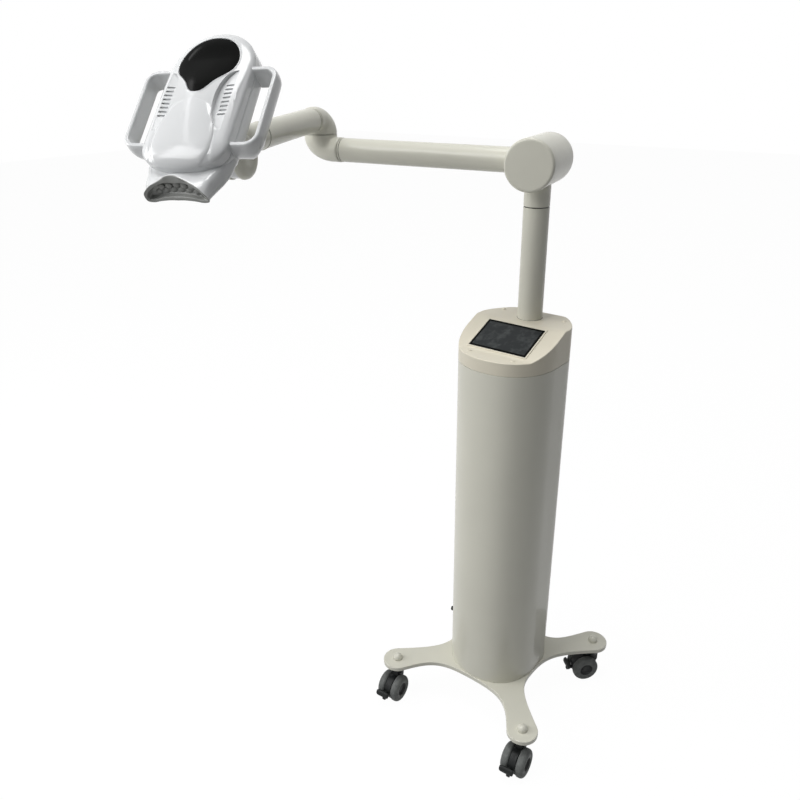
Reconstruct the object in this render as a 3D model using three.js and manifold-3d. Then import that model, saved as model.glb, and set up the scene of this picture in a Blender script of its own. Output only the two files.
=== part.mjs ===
// Teeth whitening machine on a wheeled stand, in millimetres, +Z up.
// The origin is the middle of the base plate's underside, the screen faces -Y.
import * as THREE from 'three';
import Module from 'manifold-3d';
import { mergeVertices } from 'three/addons/utils/BufferGeometryUtils.js';

const wasm = await Module();
wasm.setup();

// Clearances and counts of facets
const clearance = 0.3;
const overrun = 2;
const mergeDistance = 1e-4;
const roundSegments = 24;
const drumSegments = 36;
const smallSegments = 12;
const cornerSegments = 4;
const curveSegments = 7;

// Base plate
const plateThickness = 10;
const plateEdgeRound = 1.5;
const casterReach = 162.5;
const legEndRadius = 32;
const frontWaist = 111;
const backWaist = 104;
const sideWaist = 99;
const sideWaistShift = -12;
const legAngle = THREE.MathUtils.degToRad(45);
const backLegAngle = THREE.MathUtils.degToRad(57);
const legCurveShare = 0.98;
const sideBackCurveShare = 0.72;

// Column and cap
const columnHalfWidth = 97;
const columnFrontReach = 103;
const columnBackReach = 104;
const sideFrontY = -5;
const sideBackY = 40;
const backFlatHalf = 50;
const frontCurveShare = 0.7;
const frontSideShare = 0.5;
const backCurveShare = 0.3;
const columnWall = 2;
const columnHeight = 723;
const capWall = 3;
const capFrontHeight = 26;
const capBackHeight = 64;
const frontCreaseY = -67.5;
const backCreaseY = 21.6;

// Touch screen
const screenWidth = 121;
const screenLength = 78.4;
const screenGlass = 3;
const screenRimWidth = 3;
const screenRimHeight = 1.6;
const screenLedge = 5;
const screenModuleDepth = 9;
const screenDrop = 0.4;

// Cap frame and screws
const frameThickness = 3;
const framePostRadius = 5;
const backScrewX = 66;
const backScrewY = 75;
const frontScrewX = 46;
const frontScrewY = -78;
const screwHeadRadius = 4;
const screwHeadHeight = 2.2;
const screwShankRadius = 1.6;
const screwLength = 14;

// Power inlet, power button and power supply
const inletHeight = 45;
const inletWidth = 27;
const inletTall = 20;
const inletDepth = 20;
const inletFlange = 3;
const inletFlangeRim = 6;
const inletSocketWidth = 22;
const inletSocketTall = 16;
const inletSocketDepth = 15;
const inletPinWidth = 4;
const inletPinThickness = 2;
const inletPinLength = 11;
const inletPinSpacing = 7;
const buttonHeight = 98;
const buttonX = -91.3;
const buttonY = -41;
const buttonTurn = THREE.MathUtils.degToRad(201);
const buttonRadius = 5.2;
const buttonReach = 8;
const buttonStemRadius = 3;
const buttonInside = 10;
const buttonTravel = 2;
const supplyWidth = 110;
const supplyDepth = 60;
const supplyTall = 190;
const supplyY = -35;

// Mast and its flange
const mastRadius = 24;
const mastWall = 3;
const mastY = 60.3;
const shoulderHeight = 1085.5;
const postDrop = 78.5;
const mastTop = shoulderHeight - postDrop;
const mastHoleClearance = 1.2;
const flangeRadius = 40;
const flangeThickness = 8;
const flangeBossRadius = 31;
const flangeBossHeight = 30;
const flangeFloor = 3;

// Swivel bush and shoulder post
const bushFlange = 2;
const bushDepth = 50;
const bushFlangeRadius = 23.2;
const postPinRadius = 14;
const postPinLength = 44;
const shoulderTurn = THREE.MathUtils.degToRad(192.9);
const shoulderRadius = 45.4;
const shoulderHalf = 66.3;
const shoulderWall = 4;
const shoulderFillet = 6;
const coverThickness = 8;
const coverLip = 6;
const coverBossRadius = 14;
const hubRadius = 20;
const hubHalf = 28;
const hubNeckRadius = 7;
const neckSlotReach = 22.4;
const axleRadius = 8;

// Arm, elbow and forearm
const armRadius = 22.6;
const armWall = 2.2;
const armLift = THREE.MathUtils.degToRad(1);
const armReach = 450.4;
const armInnerEnd = 27;
const ringProud = 1;
const ringWidth = 4;
const elbowRadius = 32.7;
const elbowSeam = 1.8;
const elbowSteps = 6;
const elbowPower = 2.2;
const elbowRise = 28.54;
const elbowHeight = shoulderHeight + armReach * Math.tan(armLift) + elbowRise;
const lowerRingDistance = 47;
const upperRingDistance = 43.5;
const forearmRadius = 22.5;
const forearmRise = 29.7;
const forearmHeight = elbowHeight + forearmRise;
const headTurn = THREE.MathUtils.degToRad(22);
const forearmFall = THREE.MathUtils.degToRad(2.61);
const spigotLength = 26;
const elbowPinRadius = 12;
const elbowPinDepth = 22;

// Wrist
const wristRingDistance = 270.5;
const wristSpigotRadius = 16;
const wristDistance = 350.6;
const wristSide = -0.2;
const wristFall = 37;
const knuckleRadius = 35;
const knuckleHalf = 22.5;
const knuckleRound = 6;
const sleeveEndBack = 30;
const tongueRadius = 33;
const tongueHalf = 9;
const slotRadius = 37;
const wristAxleRadius = 6;
const wristAxleInset = 1.5;

// Head, in its own frame: X to its left, Y to its back, Z out of its top
const headTilt = THREE.MathUtils.degToRad(46.4);
const headRoll = THREE.MathUtils.degToRad(-2.3);
const headHalfWidth = 69;
const headBackCentre = 62;
const headBackReach = 66;
const headFrontStart = -70;
const headFrontReach = 42;
const lowerFrontReach = 27;
const headFrontPower = 2.6;
const headWall = 2.5;
const headFloor = 78;
const lowerEdgeInset = 26;
const lowerEdgeRise = 12;
const bumperBottom = 97;
const bumperLip = 101;
const upperEdgeInset = 24;
const upperEdgeRise = 8;
const lowerEdgeShares = [[1, 0], [0.35, 0.12], [0, 0.7]];
const upperEdgeShares = [[0, 0], [0.08, 0.5], [0.3, 0.85], [1, 1]];
const headParting = 107;
const headTop = 132.5;
const headOutlinePoints = 40;
const neckPostHalf = 21;
const neckPostThick = 14;
const neckFlangeThickness = 4;
const neckFlangeHalf = 34;
const neckFlangeHalfY = 26;

// Window and vents
const windowRadius = 47.5;
const windowCentreY = 61;
const windowTipY = 8;
const windowTipRadius = 12.5;
const windowShoulder = THREE.MathUtils.degToRad(-20);
const windowTipAngle = THREE.MathUtils.degToRad(-40);
const windowShoulderHandle = 8;
const windowTipHandle = 14;
const windowDepth = 3;
const ventInnerX = 33;
const ventOuterX = 56;
const ventBackY = 50;
const ventFrontY = -54;
const ventThickness = 2;
const ventSlotX = 49.5;
const ventSlotLength = 12;
const ventSlotWidth = 3;
const ventSlotPitch = 7.3;
const ventSlotCount = 8;
const ventFirstY = 23;
const ventDrop = 1.5;

// Handles
const handleTop = 119;
const handleTall = 24;
const handleThick = 6;
const handleOuterX = 108.5;
const handleBackY = 62;
const handleFrontY = -71;
const handleCorner = 18;

// Nozzle, lens plate and light board
const mouthHalfWidth = 52;
const mouthBottomY = -150;
const mouthBottomZ = 98.5;
const mouthTopY = -131;
const mouthTopZ = 130;
const throatBottomY = -132;
const throatBottomZ = 90.5;
const throatTopY = -121.5;
const throatTopZ = 117;
const throatHalfWidth = 54;
const waistBottomY = -112;
const waistBottomZ = 82.5;
const waistTopY = -113.5;
const waistTopZ = 103;
const waistHalfWidth = 54;
const rootY = -86;
const rootBottomZ = 76;
const rootTopZ = 96.5;
const rootHalfWidth = 46;
const nozzleWall = 3;
const nozzlePoints = 24;
const nozzleCornerShare = 0.75;
const lensShares = [0.25, 0.45];
const lensStartShare = 0.1;
const lensEndShare = 0.4;
const boardStartShare = 0.5;
const boardEndShare = 0.8;
const lensLevelShare = 0.4;
const lensRadius = 3;
const lensPitch = 12;
const lensCount = 5;

// Fan
const fanY = 52;
const fanHeight = 88;
const fanRadius = 34;
const fanHubRadius = 11;
const fanDepth = 14;
const fanPinRadius = 3;
const fanBossRadius = 7;
const bladeCount = 7;
const bladeThickness = 2;
const bladePitch = THREE.MathUtils.degToRad(35);

// Casters
const casterHeight = 85;
const wheelRadius = 30;
const wheelWidth = 17;
const tyreRound = 5;
const wheelHubRadius = 12;
const wheelHubRecess = 2;
const wheelAxleRadius = 4;
const casterTrail = 20;
const casterBodyRadius = 28;
const casterBodyHalf = 8;
const casterSocketRadius = 13;
const casterSocketBottom = 25;
const casterTopGap = 2;
const casterCollarRadius = 20;
const casterCollarHeight = 4;
const stemRadius = 5;
const stemLength = 20;
const domeRadius = 10.5;
const domeHeight = 12;
const domeShares = [[1, 0], [1, 0.25], [0.93, 0.55], [0.72, 0.83], [0.38, 0.97], [0, 1]];
const pedalPivotReach = 21;
const pedalPivotRise = -4;
const pedalTravel = THREE.MathUtils.degToRad(12);
const pedalArmLength = 10.5;
const pedalEyeRadius = 5;
const pedalEyeHalf = 2.6;
const pedalPinRadius = 2;
const pedalTreadLength = 7;
const pedalTreadHalf = 14;
const pedalTreadThickness = 5;
const pedalStepLength = 2.5;
const pedalStepHalf = 6;
const pedalDrop = THREE.MathUtils.degToRad(16);
const casterAngles = {
  front_left: THREE.MathUtils.degToRad(-84),
  front_right: THREE.MathUtils.degToRad(-84),
  back_left: THREE.MathUtils.degToRad(-84),
  back_right: THREE.MathUtils.degToRad(-130),
};

// Materials
const creamPaint = { color: 0xd9d5c6, roughness: 0.4, metalness: 0.0 };
const glossWhite = { color: 0xe6e7e6, roughness: 0.2, metalness: 0.0 };
const blackGloss = { color: 0x08090a, roughness: 0.08, metalness: 0.0 };
const blackPlastic = { color: 0x17191a, roughness: 0.5, metalness: 0.0 };
const greyTyre = { color: 0x6d7170, roughness: 0.7, metalness: 0.0 };
const greyPlastic = { color: 0x74777a, roughness: 0.45, metalness: 0.0 };
const steel = { color: 0xb5b7b9, roughness: 0.3, metalness: 1.0 };
const aluminium = { color: 0xc4c6c8, roughness: 0.4, metalness: 1.0 };

const machine = new THREE.Group();

function solid(geometry) {
  const plain = geometry.clone();
  plain.deleteAttribute('normal');
  plain.deleteAttribute('uv');
  const merged = mergeVertices(plain, mergeDistance);
  return new wasm.Manifold(new wasm.Mesh({
    numProp: 3,
    vertProperties: new Float32Array(merged.attributes.position.array),
    triVerts: new Uint32Array(merged.index.array),
  }));
}

function surface(body) {
  const data = body.getMesh();
  const geometry = new THREE.BufferGeometry();
  geometry.setAttribute('position', new THREE.BufferAttribute(new Float32Array(data.vertProperties), 3));
  geometry.setIndex(new THREE.BufferAttribute(new Uint32Array(data.triVerts), 1));
  return geometry;
}

function cut(first, ...others) {
  return others.reduce((left, right) => left.subtract(right), first);
}

function join(first, ...others) {
  return others.reduce((left, right) => left.add(right), first);
}

function place(parent, name, shape, look) {
  const geometry = shape.isBufferGeometry ? shape : surface(shape);
  geometry.computeVertexNormals();
  const mesh = new THREE.Mesh(geometry, new THREE.MeshStandardMaterial(look));
  mesh.name = name;
  parent.add(mesh);
  return mesh;
}

function slab(shape, bottom, top, segments = curveSegments) {
  const geometry = new THREE.ExtrudeGeometry(shape, {
    depth: top - bottom,
    bevelEnabled: false,
    curveSegments: segments,
  });
  geometry.translate(0, 0, bottom);
  return geometry;
}

function boxBetween(low, high) {
  const geometry = new THREE.BoxGeometry(high[0] - low[0], high[1] - low[1], high[2] - low[2]);
  geometry.translate((low[0] + high[0]) / 2, (low[1] + high[1]) / 2, (low[2] + high[2]) / 2);
  return solid(geometry);
}

// A turned body on +Z from pairs of radius and height.
function turned(profile, segments = roundSegments) {
  return new THREE.LatheGeometry(profile.map(([r, z]) => new THREE.Vector2(r, z)), segments)
    .rotateX(Math.PI / 2);
}

// A round bar between two heights on +Z.
function bar(radius, bottom, top, segments = roundSegments) {
  return turned([[0, bottom], [radius, bottom], [radius, top], [0, top]], segments);
}

// A pipe between two heights on +Z.
function pipe(outer, inner, bottom, top, segments = roundSegments) {
  return turned([[inner, bottom], [outer, bottom], [outer, top], [inner, top], [inner, bottom]], segments);
}

// Closed skin over loops that all have the same number of points.
function loft(loops) {
  const count = loops[0].length;
  const positions = [];
  const index = [];
  loops.forEach((loop) => loop.forEach((point) => positions.push(point.x, point.y, point.z)));
  const endCentre = (loop) => loop.reduce((sum, p) => sum.add(p), new THREE.Vector3()).divideScalar(count);
  const first = endCentre(loops[0]);
  const last = endCentre(loops[loops.length - 1]);
  positions.push(first.x, first.y, first.z, last.x, last.y, last.z);
  const firstIndex = loops.length * count;
  const lastStart = (loops.length - 1) * count;
  for (let k = 0; k < count; k += 1) {
    const next = (k + 1) % count;
    index.push(firstIndex, next, k);
    index.push(firstIndex + 1, lastStart + k, lastStart + next);
    for (let level = 0; level < loops.length - 1; level += 1) {
      const a = level * count + k;
      const b = level * count + next;
      index.push(a, b, b + count, a, b + count, a + count);
    }
  }
  const geometry = new THREE.BufferGeometry();
  geometry.setAttribute('position', new THREE.Float32BufferAttribute(positions, 3));
  geometry.setIndex(index);
  return geometry;
}

function turnedAlongY(geometry) {
  return geometry.rotateX(-Math.PI / 2);
}

function turnedAlongX(geometry) {
  return geometry.rotateY(Math.PI / 2);
}

function point(x, y) {
  return new THREE.Vector2(x, y);
}

function mirrored(points) {
  return points.map((p) => point(-p.x, p.y)).reverse();
}

// Base plate: one concave flank from a leg end to the middle of the side.
function flank(tangent, direction, waist, side, share) {
  const reach = side === 'x'
    ? (waist.x - tangent.x) / direction.x
    : (waist.y - tangent.y) / direction.y;
  const corner = direction.clone().multiplyScalar(reach).add(tangent);
  const curve = new THREE.CubicBezierCurve(
    tangent,
    tangent.clone().lerp(corner, share),
    waist.clone().lerp(corner, share),
    waist,
  );
  return curve.getPoints(curveSegments);
}

function legEnd(centre, from, to) {
  const startAngle = Math.atan2(from.y - centre.y, from.x - centre.x);
  const endAngle = Math.atan2(to.y - centre.y, to.x - centre.x);
  const turn = (endAngle - startAngle + 2 * Math.PI) % (2 * Math.PI);
  const points = [];
  for (let k = 1; k < curveSegments; k += 1) {
    const angle = startAngle + turn * k / curveSegments;
    points.push(point(
      centre.x + legEndRadius * Math.cos(angle),
      centre.y + legEndRadius * Math.sin(angle),
    ));
  }
  return points;
}

function plateOutline() {
  const sine = Math.sin(legAngle);
  const cosine = Math.cos(legAngle);
  const backSine = Math.sin(backLegAngle);
  const backCosine = Math.cos(backLegAngle);
  const near = point(casterReach, -casterReach);
  const far = point(casterReach, casterReach);
  const sideMiddle = point(sideWaist, sideWaistShift);
  const front = flank(
    point(near.x - legEndRadius * sine, near.y - legEndRadius * cosine),
    point(-cosine, sine), point(0, -frontWaist), 'y', legCurveShare,
  ).reverse();
  const sideFront = flank(
    point(near.x + legEndRadius * cosine, near.y + legEndRadius * sine),
    point(-sine, cosine), sideMiddle, 'x', legCurveShare,
  );
  const sideBack = flank(
    point(far.x + legEndRadius * cosine, far.y - legEndRadius * sine),
    point(-sine, -cosine), sideMiddle, 'x', sideBackCurveShare,
  ).reverse();
  const back = flank(
    point(far.x - legEndRadius * backSine, far.y + legEndRadius * backCosine),
    point(-backCosine, -backSine), point(0, backWaist), 'y', legCurveShare,
  );
  const right = [
    ...front,
    ...legEnd(near, front[front.length - 1], sideFront[0]),
    ...sideFront,
    ...sideBack.slice(1),
    ...legEnd(far, sideBack[sideBack.length - 1], back[0]),
    ...back,
  ];
  return new THREE.Shape([...right, ...mirrored(right).slice(1, -1)]);
}

const casterPlaces = {
  front_left: [-casterReach, -casterReach],
  front_right: [casterReach, -casterReach],
  back_left: [-casterReach, casterReach],
  back_right: [casterReach, casterReach],
};

const plateSlab = new THREE.ExtrudeGeometry(plateOutline(), {
  depth: plateThickness - 2 * plateEdgeRound,
  bevelEnabled: true,
  bevelThickness: plateEdgeRound,
  bevelSize: plateEdgeRound,
  bevelOffset: -plateEdgeRound,
  bevelSegments: 1,
});
plateSlab.translate(0, 0, plateEdgeRound);
const stemHole = (x, y) => solid(
  bar(stemRadius + clearance, -overrun, plateThickness + overrun, smallSegments).translate(x, y, 0),
);
place(machine, 'base_plate', cut(
  solid(plateSlab),
  ...Object.values(casterPlaces).map(([x, y]) => stemHole(x, y)),
), creamPaint);

// Plan outline of the column and the cap, drawn in by an inset.
function columnOutline(inset) {
  const half = columnHalfWidth - inset;
  const front = -columnFrontReach + inset;
  const back = columnBackReach - inset;
  const frontEdge = new THREE.CubicBezierCurve(
    point(0, front),
    point(half * frontCurveShare, front),
    point(half, sideFrontY + (front - sideFrontY) * frontSideShare),
    point(half, sideFrontY),
  );
  const backEdge = new THREE.CubicBezierCurve(
    point(half, sideBackY),
    point(half, sideBackY + (back - sideBackY) * backCurveShare),
    point(backFlatHalf + (half - backFlatHalf) * backCurveShare, back),
    point(backFlatHalf, back),
  );
  const right = [...frontEdge.getPoints(2 * curveSegments), ...backEdge.getPoints(curveSegments)];
  return new THREE.Shape([...right, ...mirrored(right).slice(0, -1)]);
}

const columnBottom = plateThickness + clearance;
const columnTop = plateThickness + columnHeight;
const inletZ = plateThickness + inletHeight;
const inletHole = boxBetween(
  [-inletWidth / 2 - clearance, columnBackReach - columnWall - overrun, inletZ - inletTall / 2 - clearance],
  [inletWidth / 2 + clearance, columnBackReach + overrun, inletZ + inletTall / 2 + clearance],
);
const buttonZ = plateThickness + buttonHeight;
const alongButton = (geometry) => turnedAlongX(geometry)
  .rotateZ(buttonTurn).translate(buttonX, buttonY, buttonZ);
const buttonHole = solid(alongButton(
  bar(buttonStemRadius + clearance, -buttonInside, buttonReach, smallSegments),
));
place(machine, 'column_shell', cut(
  solid(slab(columnOutline(0), columnBottom, columnTop)),
  solid(slab(columnOutline(columnWall), columnBottom - overrun, columnTop + overrun)),
  inletHole,
  buttonHole,
), creamPaint);

// Top cap: the outline cut by a side profile with a sloping panel.
const capBottom = columnTop + clearance;
const capFrontTop = columnTop + capFrontHeight;
const capBackTop = columnTop + capBackHeight;
const slope = Math.atan2(capBackHeight - capFrontHeight, backCreaseY - frontCreaseY);

function capBody(inset, bottom) {
  const profile = new THREE.Shape([
    point(-columnFrontReach - overrun, bottom - overrun),
    point(columnBackReach + overrun, bottom - overrun),
    point(columnBackReach + overrun, capBackTop - inset),
    point(backCreaseY + inset * Math.tan(slope / 2), capBackTop - inset),
    point(frontCreaseY + inset * Math.tan(slope / 2), capFrontTop - inset),
    point(-columnFrontReach - overrun, capFrontTop - inset),
  ]);
  const reach = columnHalfWidth + overrun;
  const side = slab(profile, -reach, reach).rotateX(Math.PI / 2).rotateZ(Math.PI / 2);
  return solid(slab(columnOutline(inset), bottom, capBackTop + overrun)).intersect(solid(side));
}

const screenY = (frontCreaseY + backCreaseY) / 2;
const screenZ = (capFrontTop + capBackTop) / 2;
const onSlope = (geometry) => geometry.rotateX(slope).translate(0, screenY, screenZ);

function slopeBox(width, length, bottom, top) {
  const geometry = new THREE.BoxGeometry(width, length, top - bottom);
  geometry.translate(0, 0, (bottom + top) / 2);
  return solid(onSlope(geometry));
}

const screenTop = screenRimHeight - screenDrop;
const screenBottom = screenTop - screenGlass;
const moduleWidth = screenWidth - 2 * screenLedge;
const moduleLength = screenLength - 2 * screenLedge;
const mastHoleRadius = mastRadius + mastHoleClearance;
const screwPlaces = {
  back_left: [-backScrewX, backScrewY, capBackTop],
  back_right: [backScrewX, backScrewY, capBackTop],
  front_left: [-frontScrewX, frontScrewY, capFrontTop],
  front_right: [frontScrewX, frontScrewY, capFrontTop],
};

function screwRecess([x, y, z]) {
  return solid(turned([
    [0, -screwLength],
    [screwShankRadius + clearance, -screwLength],
    [screwShankRadius + clearance, -screwHeadHeight / 2 - clearance],
    [screwHeadRadius + clearance, -screwHeadHeight / 2 - clearance],
    [screwHeadRadius + clearance, overrun],
    [0, overrun],
  ], smallSegments).translate(x, y, z));
}

place(machine, 'top_cap', cut(
  join(
    capBody(0, capBottom),
    slopeBox(
      screenWidth + 2 * screenRimWidth,
      screenLength + 2 * screenRimWidth,
      -capWall / 2,
      screenRimHeight,
    ),
  ),
  capBody(capWall, capBottom - overrun),
  slopeBox(screenWidth, screenLength, screenBottom - clearance, screenRimHeight + overrun),
  slopeBox(moduleWidth + 2 * clearance, moduleLength + 2 * clearance, -screenModuleDepth, overrun),
  solid(bar(mastHoleRadius, capBottom, capBackTop + overrun).translate(0, mastY, 0)),
  ...Object.values(screwPlaces).map(screwRecess),
), creamPaint);

place(machine, 'touch_screen', join(
  slopeBox(screenWidth - 2 * clearance, screenLength - 2 * clearance, screenBottom, screenTop),
  slopeBox(moduleWidth, moduleLength, -screenModuleDepth, (screenBottom + screenTop) / 2),
), blackGloss);

// Frame under the cap: a plate in the column's top with four posts that take the screws.
const frameTop = columnTop;
const frameBottom = frameTop - frameThickness;
const framePosts = Object.values(screwPlaces).map(([x, y, z]) => solid(
  bar(framePostRadius, frameBottom, z - capWall - clearance, smallSegments).translate(x, y, 0),
));
const frameBores = Object.values(screwPlaces).map(([x, y, z]) => solid(
  bar(screwShankRadius + clearance, z - screwLength - overrun, z, smallSegments).translate(x, y, 0),
));
place(machine, 'cap_frame', cut(
  join(solid(slab(columnOutline(columnWall + clearance), frameBottom, frameTop)), ...framePosts),
  ...frameBores,
  solid(bar(mastRadius + clearance, frameBottom - overrun, frameTop + overrun).translate(0, mastY, 0)),
), steel);

Object.entries(screwPlaces).forEach(([side, [x, y, z]]) => {
  place(machine, `cap_screw_${side}`, turned([
    [0, -screwLength],
    [screwShankRadius, -screwLength],
    [screwShankRadius, -screwHeadHeight / 2],
    [screwHeadRadius, -screwHeadHeight / 2],
    [screwHeadRadius, 0],
    [screwHeadRadius / 2, screwHeadHeight / 2],
    [0, screwHeadHeight / 2],
  ], smallSegments).translate(x, y, z), steel);
});

// Power inlet in the column's back, power button on its front left corner, power supply inside.
const inletFace = columnBackReach + clearance;
const inletSocket = boxBetween(
  [-inletSocketWidth / 2, inletFace + inletFlange - inletSocketDepth, inletZ - inletSocketTall / 2],
  [inletSocketWidth / 2, inletFace + inletFlange + overrun, inletZ + inletSocketTall / 2],
);
const inletPins = [-1, 0, 1].map((slot) => boxBetween(
  [
    slot * inletPinSpacing - inletPinThickness / 2,
    inletFace + inletFlange - inletSocketDepth - overrun,
    inletZ - inletPinWidth,
  ],
  [
    slot * inletPinSpacing + inletPinThickness / 2,
    inletFace + inletFlange - inletSocketDepth + inletPinLength,
    inletZ,
  ],
));
place(machine, 'power_inlet', join(
  cut(
    join(
      boxBetween(
        [-inletWidth / 2 - inletFlangeRim, inletFace, inletZ - inletTall / 2 - inletFlange],
        [inletWidth / 2 + inletFlangeRim, inletFace + inletFlange, inletZ + inletTall / 2 + inletFlange],
      ),
      boxBetween(
        [-inletWidth / 2, inletFace - inletDepth, inletZ - inletTall / 2],
        [inletWidth / 2, inletFace + inletFlange / 2, inletZ + inletTall / 2],
      ),
    ),
    inletSocket,
  ),
  ...inletPins,
), blackPlastic);

place(machine, 'power_button', alongButton(turned([
  [0, -buttonInside + buttonTravel],
  [buttonStemRadius, -buttonInside + buttonTravel],
  [buttonStemRadius, buttonTravel + clearance],
  [buttonRadius, buttonTravel + clearance],
  [buttonRadius, buttonReach - buttonRadius / 2],
  [buttonRadius * Math.SQRT1_2, buttonReach - clearance],
  [0, buttonReach],
], smallSegments)), blackPlastic);

place(machine, 'power_supply', boxBetween(
  [-supplyWidth / 2, supplyY - supplyDepth / 2, plateThickness + clearance],
  [supplyWidth / 2, supplyY + supplyDepth / 2, plateThickness + supplyTall],
), aluminium);

// Mast in its flange on the base plate.
const flangeBottom = plateThickness + clearance;
const mastBottom = flangeBottom + flangeFloor + clearance;
const onMast = (geometry) => geometry.translate(0, mastY, 0);
place(machine, 'mast_flange', onMast(turned([
  [0, flangeBottom],
  [flangeRadius, flangeBottom],
  [flangeRadius, flangeBottom + flangeThickness],
  [flangeBossRadius, flangeBottom + flangeThickness],
  [flangeBossRadius, flangeBottom + flangeBossHeight],
  [mastRadius + clearance, flangeBottom + flangeBossHeight],
  [mastRadius + clearance, flangeBottom + flangeFloor],
  [0, flangeBottom + flangeFloor],
])), steel);
const mastBore = mastRadius - mastWall;
place(machine, 'mast_tube', onMast(pipe(mastRadius, mastBore, mastBottom, mastTop)), creamPaint);

// Bush, post and drum of the shoulder
const bushTop = mastTop + clearance + bushFlange;
place(machine, 'swivel_bush', onMast(turned([
  [postPinRadius + clearance, mastTop - bushDepth],
  [mastBore - clearance, mastTop - bushDepth],
  [mastBore - clearance, mastTop + clearance],
  [bushFlangeRadius, mastTop + clearance],
  [bushFlangeRadius, bushTop],
  [postPinRadius + clearance, bushTop],
  [postPinRadius + clearance, mastTop - bushDepth],
])), blackPlastic);

const shoulder = new THREE.Group();
shoulder.position.set(0, mastY, shoulderHeight);
shoulder.rotation.set(0, 0, shoulderTurn);
machine.add(shoulder);

const postBottom = bushTop + clearance - shoulderHeight;
const saddle = solid(turnedAlongY(
  bar(shoulderRadius + clearance, -shoulderHalf, shoulderHalf, drumSegments),
));
place(shoulder, 'shoulder_post', cut(
  join(
    cut(solid(bar(mastRadius, postBottom, 0)), saddle),
    solid(bar(postPinRadius, postBottom - postPinLength, postBottom + overrun)),
    solid(bar(hubNeckRadius, -shoulderRadius - overrun, 0, smallSegments)),
    solid(turnedAlongY(bar(hubRadius, -hubHalf, hubHalf))),
  ),
  solid(turnedAlongY(bar(axleRadius + clearance, -shoulderHalf, shoulderHalf, smallSegments))),
), creamPaint);

const drumHalf = shoulderHalf - coverThickness - clearance;
const drumBore = shoulderRadius - shoulderWall;
const slotHalf = hubNeckRadius + clearance;
const slotBox = boxBetween(
  [-neckSlotReach + slotHalf, -slotHalf, -shoulderRadius - overrun],
  [neckSlotReach - slotHalf, slotHalf, -hubRadius],
);
const slotEnds = [-1, 1].map((side) => solid(
  bar(slotHalf, -shoulderRadius - overrun, -hubRadius, smallSegments)
    .translate(side * (neckSlotReach - slotHalf), 0, 0),
));

// Arm frame: X along the arm, Y along the drum's axis.
const arm = new THREE.Group();
arm.position.copy(shoulder.position);
arm.rotation.set(0, -armLift, shoulderTurn, 'ZYX');
machine.add(arm);

place(arm, 'shoulder_drum', cut(
  solid(turnedAlongY(pipe(shoulderRadius, drumBore, -drumHalf, drumHalf, drumSegments))),
  slotBox,
  ...slotEnds,
  solid(turnedAlongX(bar(armRadius + clearance, 0, shoulderRadius + overrun))),
), creamPaint);

const coverInner = shoulderHalf - coverThickness;
const coverCorner = shoulderFillet * (1 - Math.SQRT1_2);
const coverProfile = [
  [0, shoulderHalf],
  [shoulderRadius - shoulderFillet, shoulderHalf],
  [shoulderRadius - coverCorner, shoulderHalf - coverCorner],
  [shoulderRadius, shoulderHalf - shoulderFillet],
  [shoulderRadius, coverInner],
  [drumBore - clearance, coverInner],
  [drumBore - clearance, coverInner - coverLip],
  [drumBore - coverLip, coverInner - coverLip],
  [drumBore - coverLip, coverInner],
  [coverBossRadius, coverInner],
  [coverBossRadius, hubHalf + clearance],
  [axleRadius + clearance, hubHalf + clearance],
  [axleRadius + clearance, coverInner + clearance],
  [0, coverInner + clearance],
].reverse();
place(arm, 'drum_cover_front', turnedAlongY(turned(coverProfile)), creamPaint);
place(arm, 'drum_cover_back', turned(coverProfile).rotateX(Math.PI / 2), creamPaint);
place(arm, 'shoulder_axle', turnedAlongY(bar(axleRadius, -coverInner, coverInner, smallSegments)), steel);

// Arm tube and its ring
const lowerRingStart = armReach / Math.cos(armLift) - lowerRingDistance;
const ringInner = armRadius - armWall;
place(arm, 'arm_tube', turnedAlongX(
  pipe(armRadius, ringInner, armInnerEnd, lowerRingStart - ringWidth - clearance),
), creamPaint);
place(arm, 'arm_ring', turnedAlongX(
  pipe(armRadius + ringProud, ringInner, lowerRingStart - ringWidth, lowerRingStart - clearance),
), blackPlastic);

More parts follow.
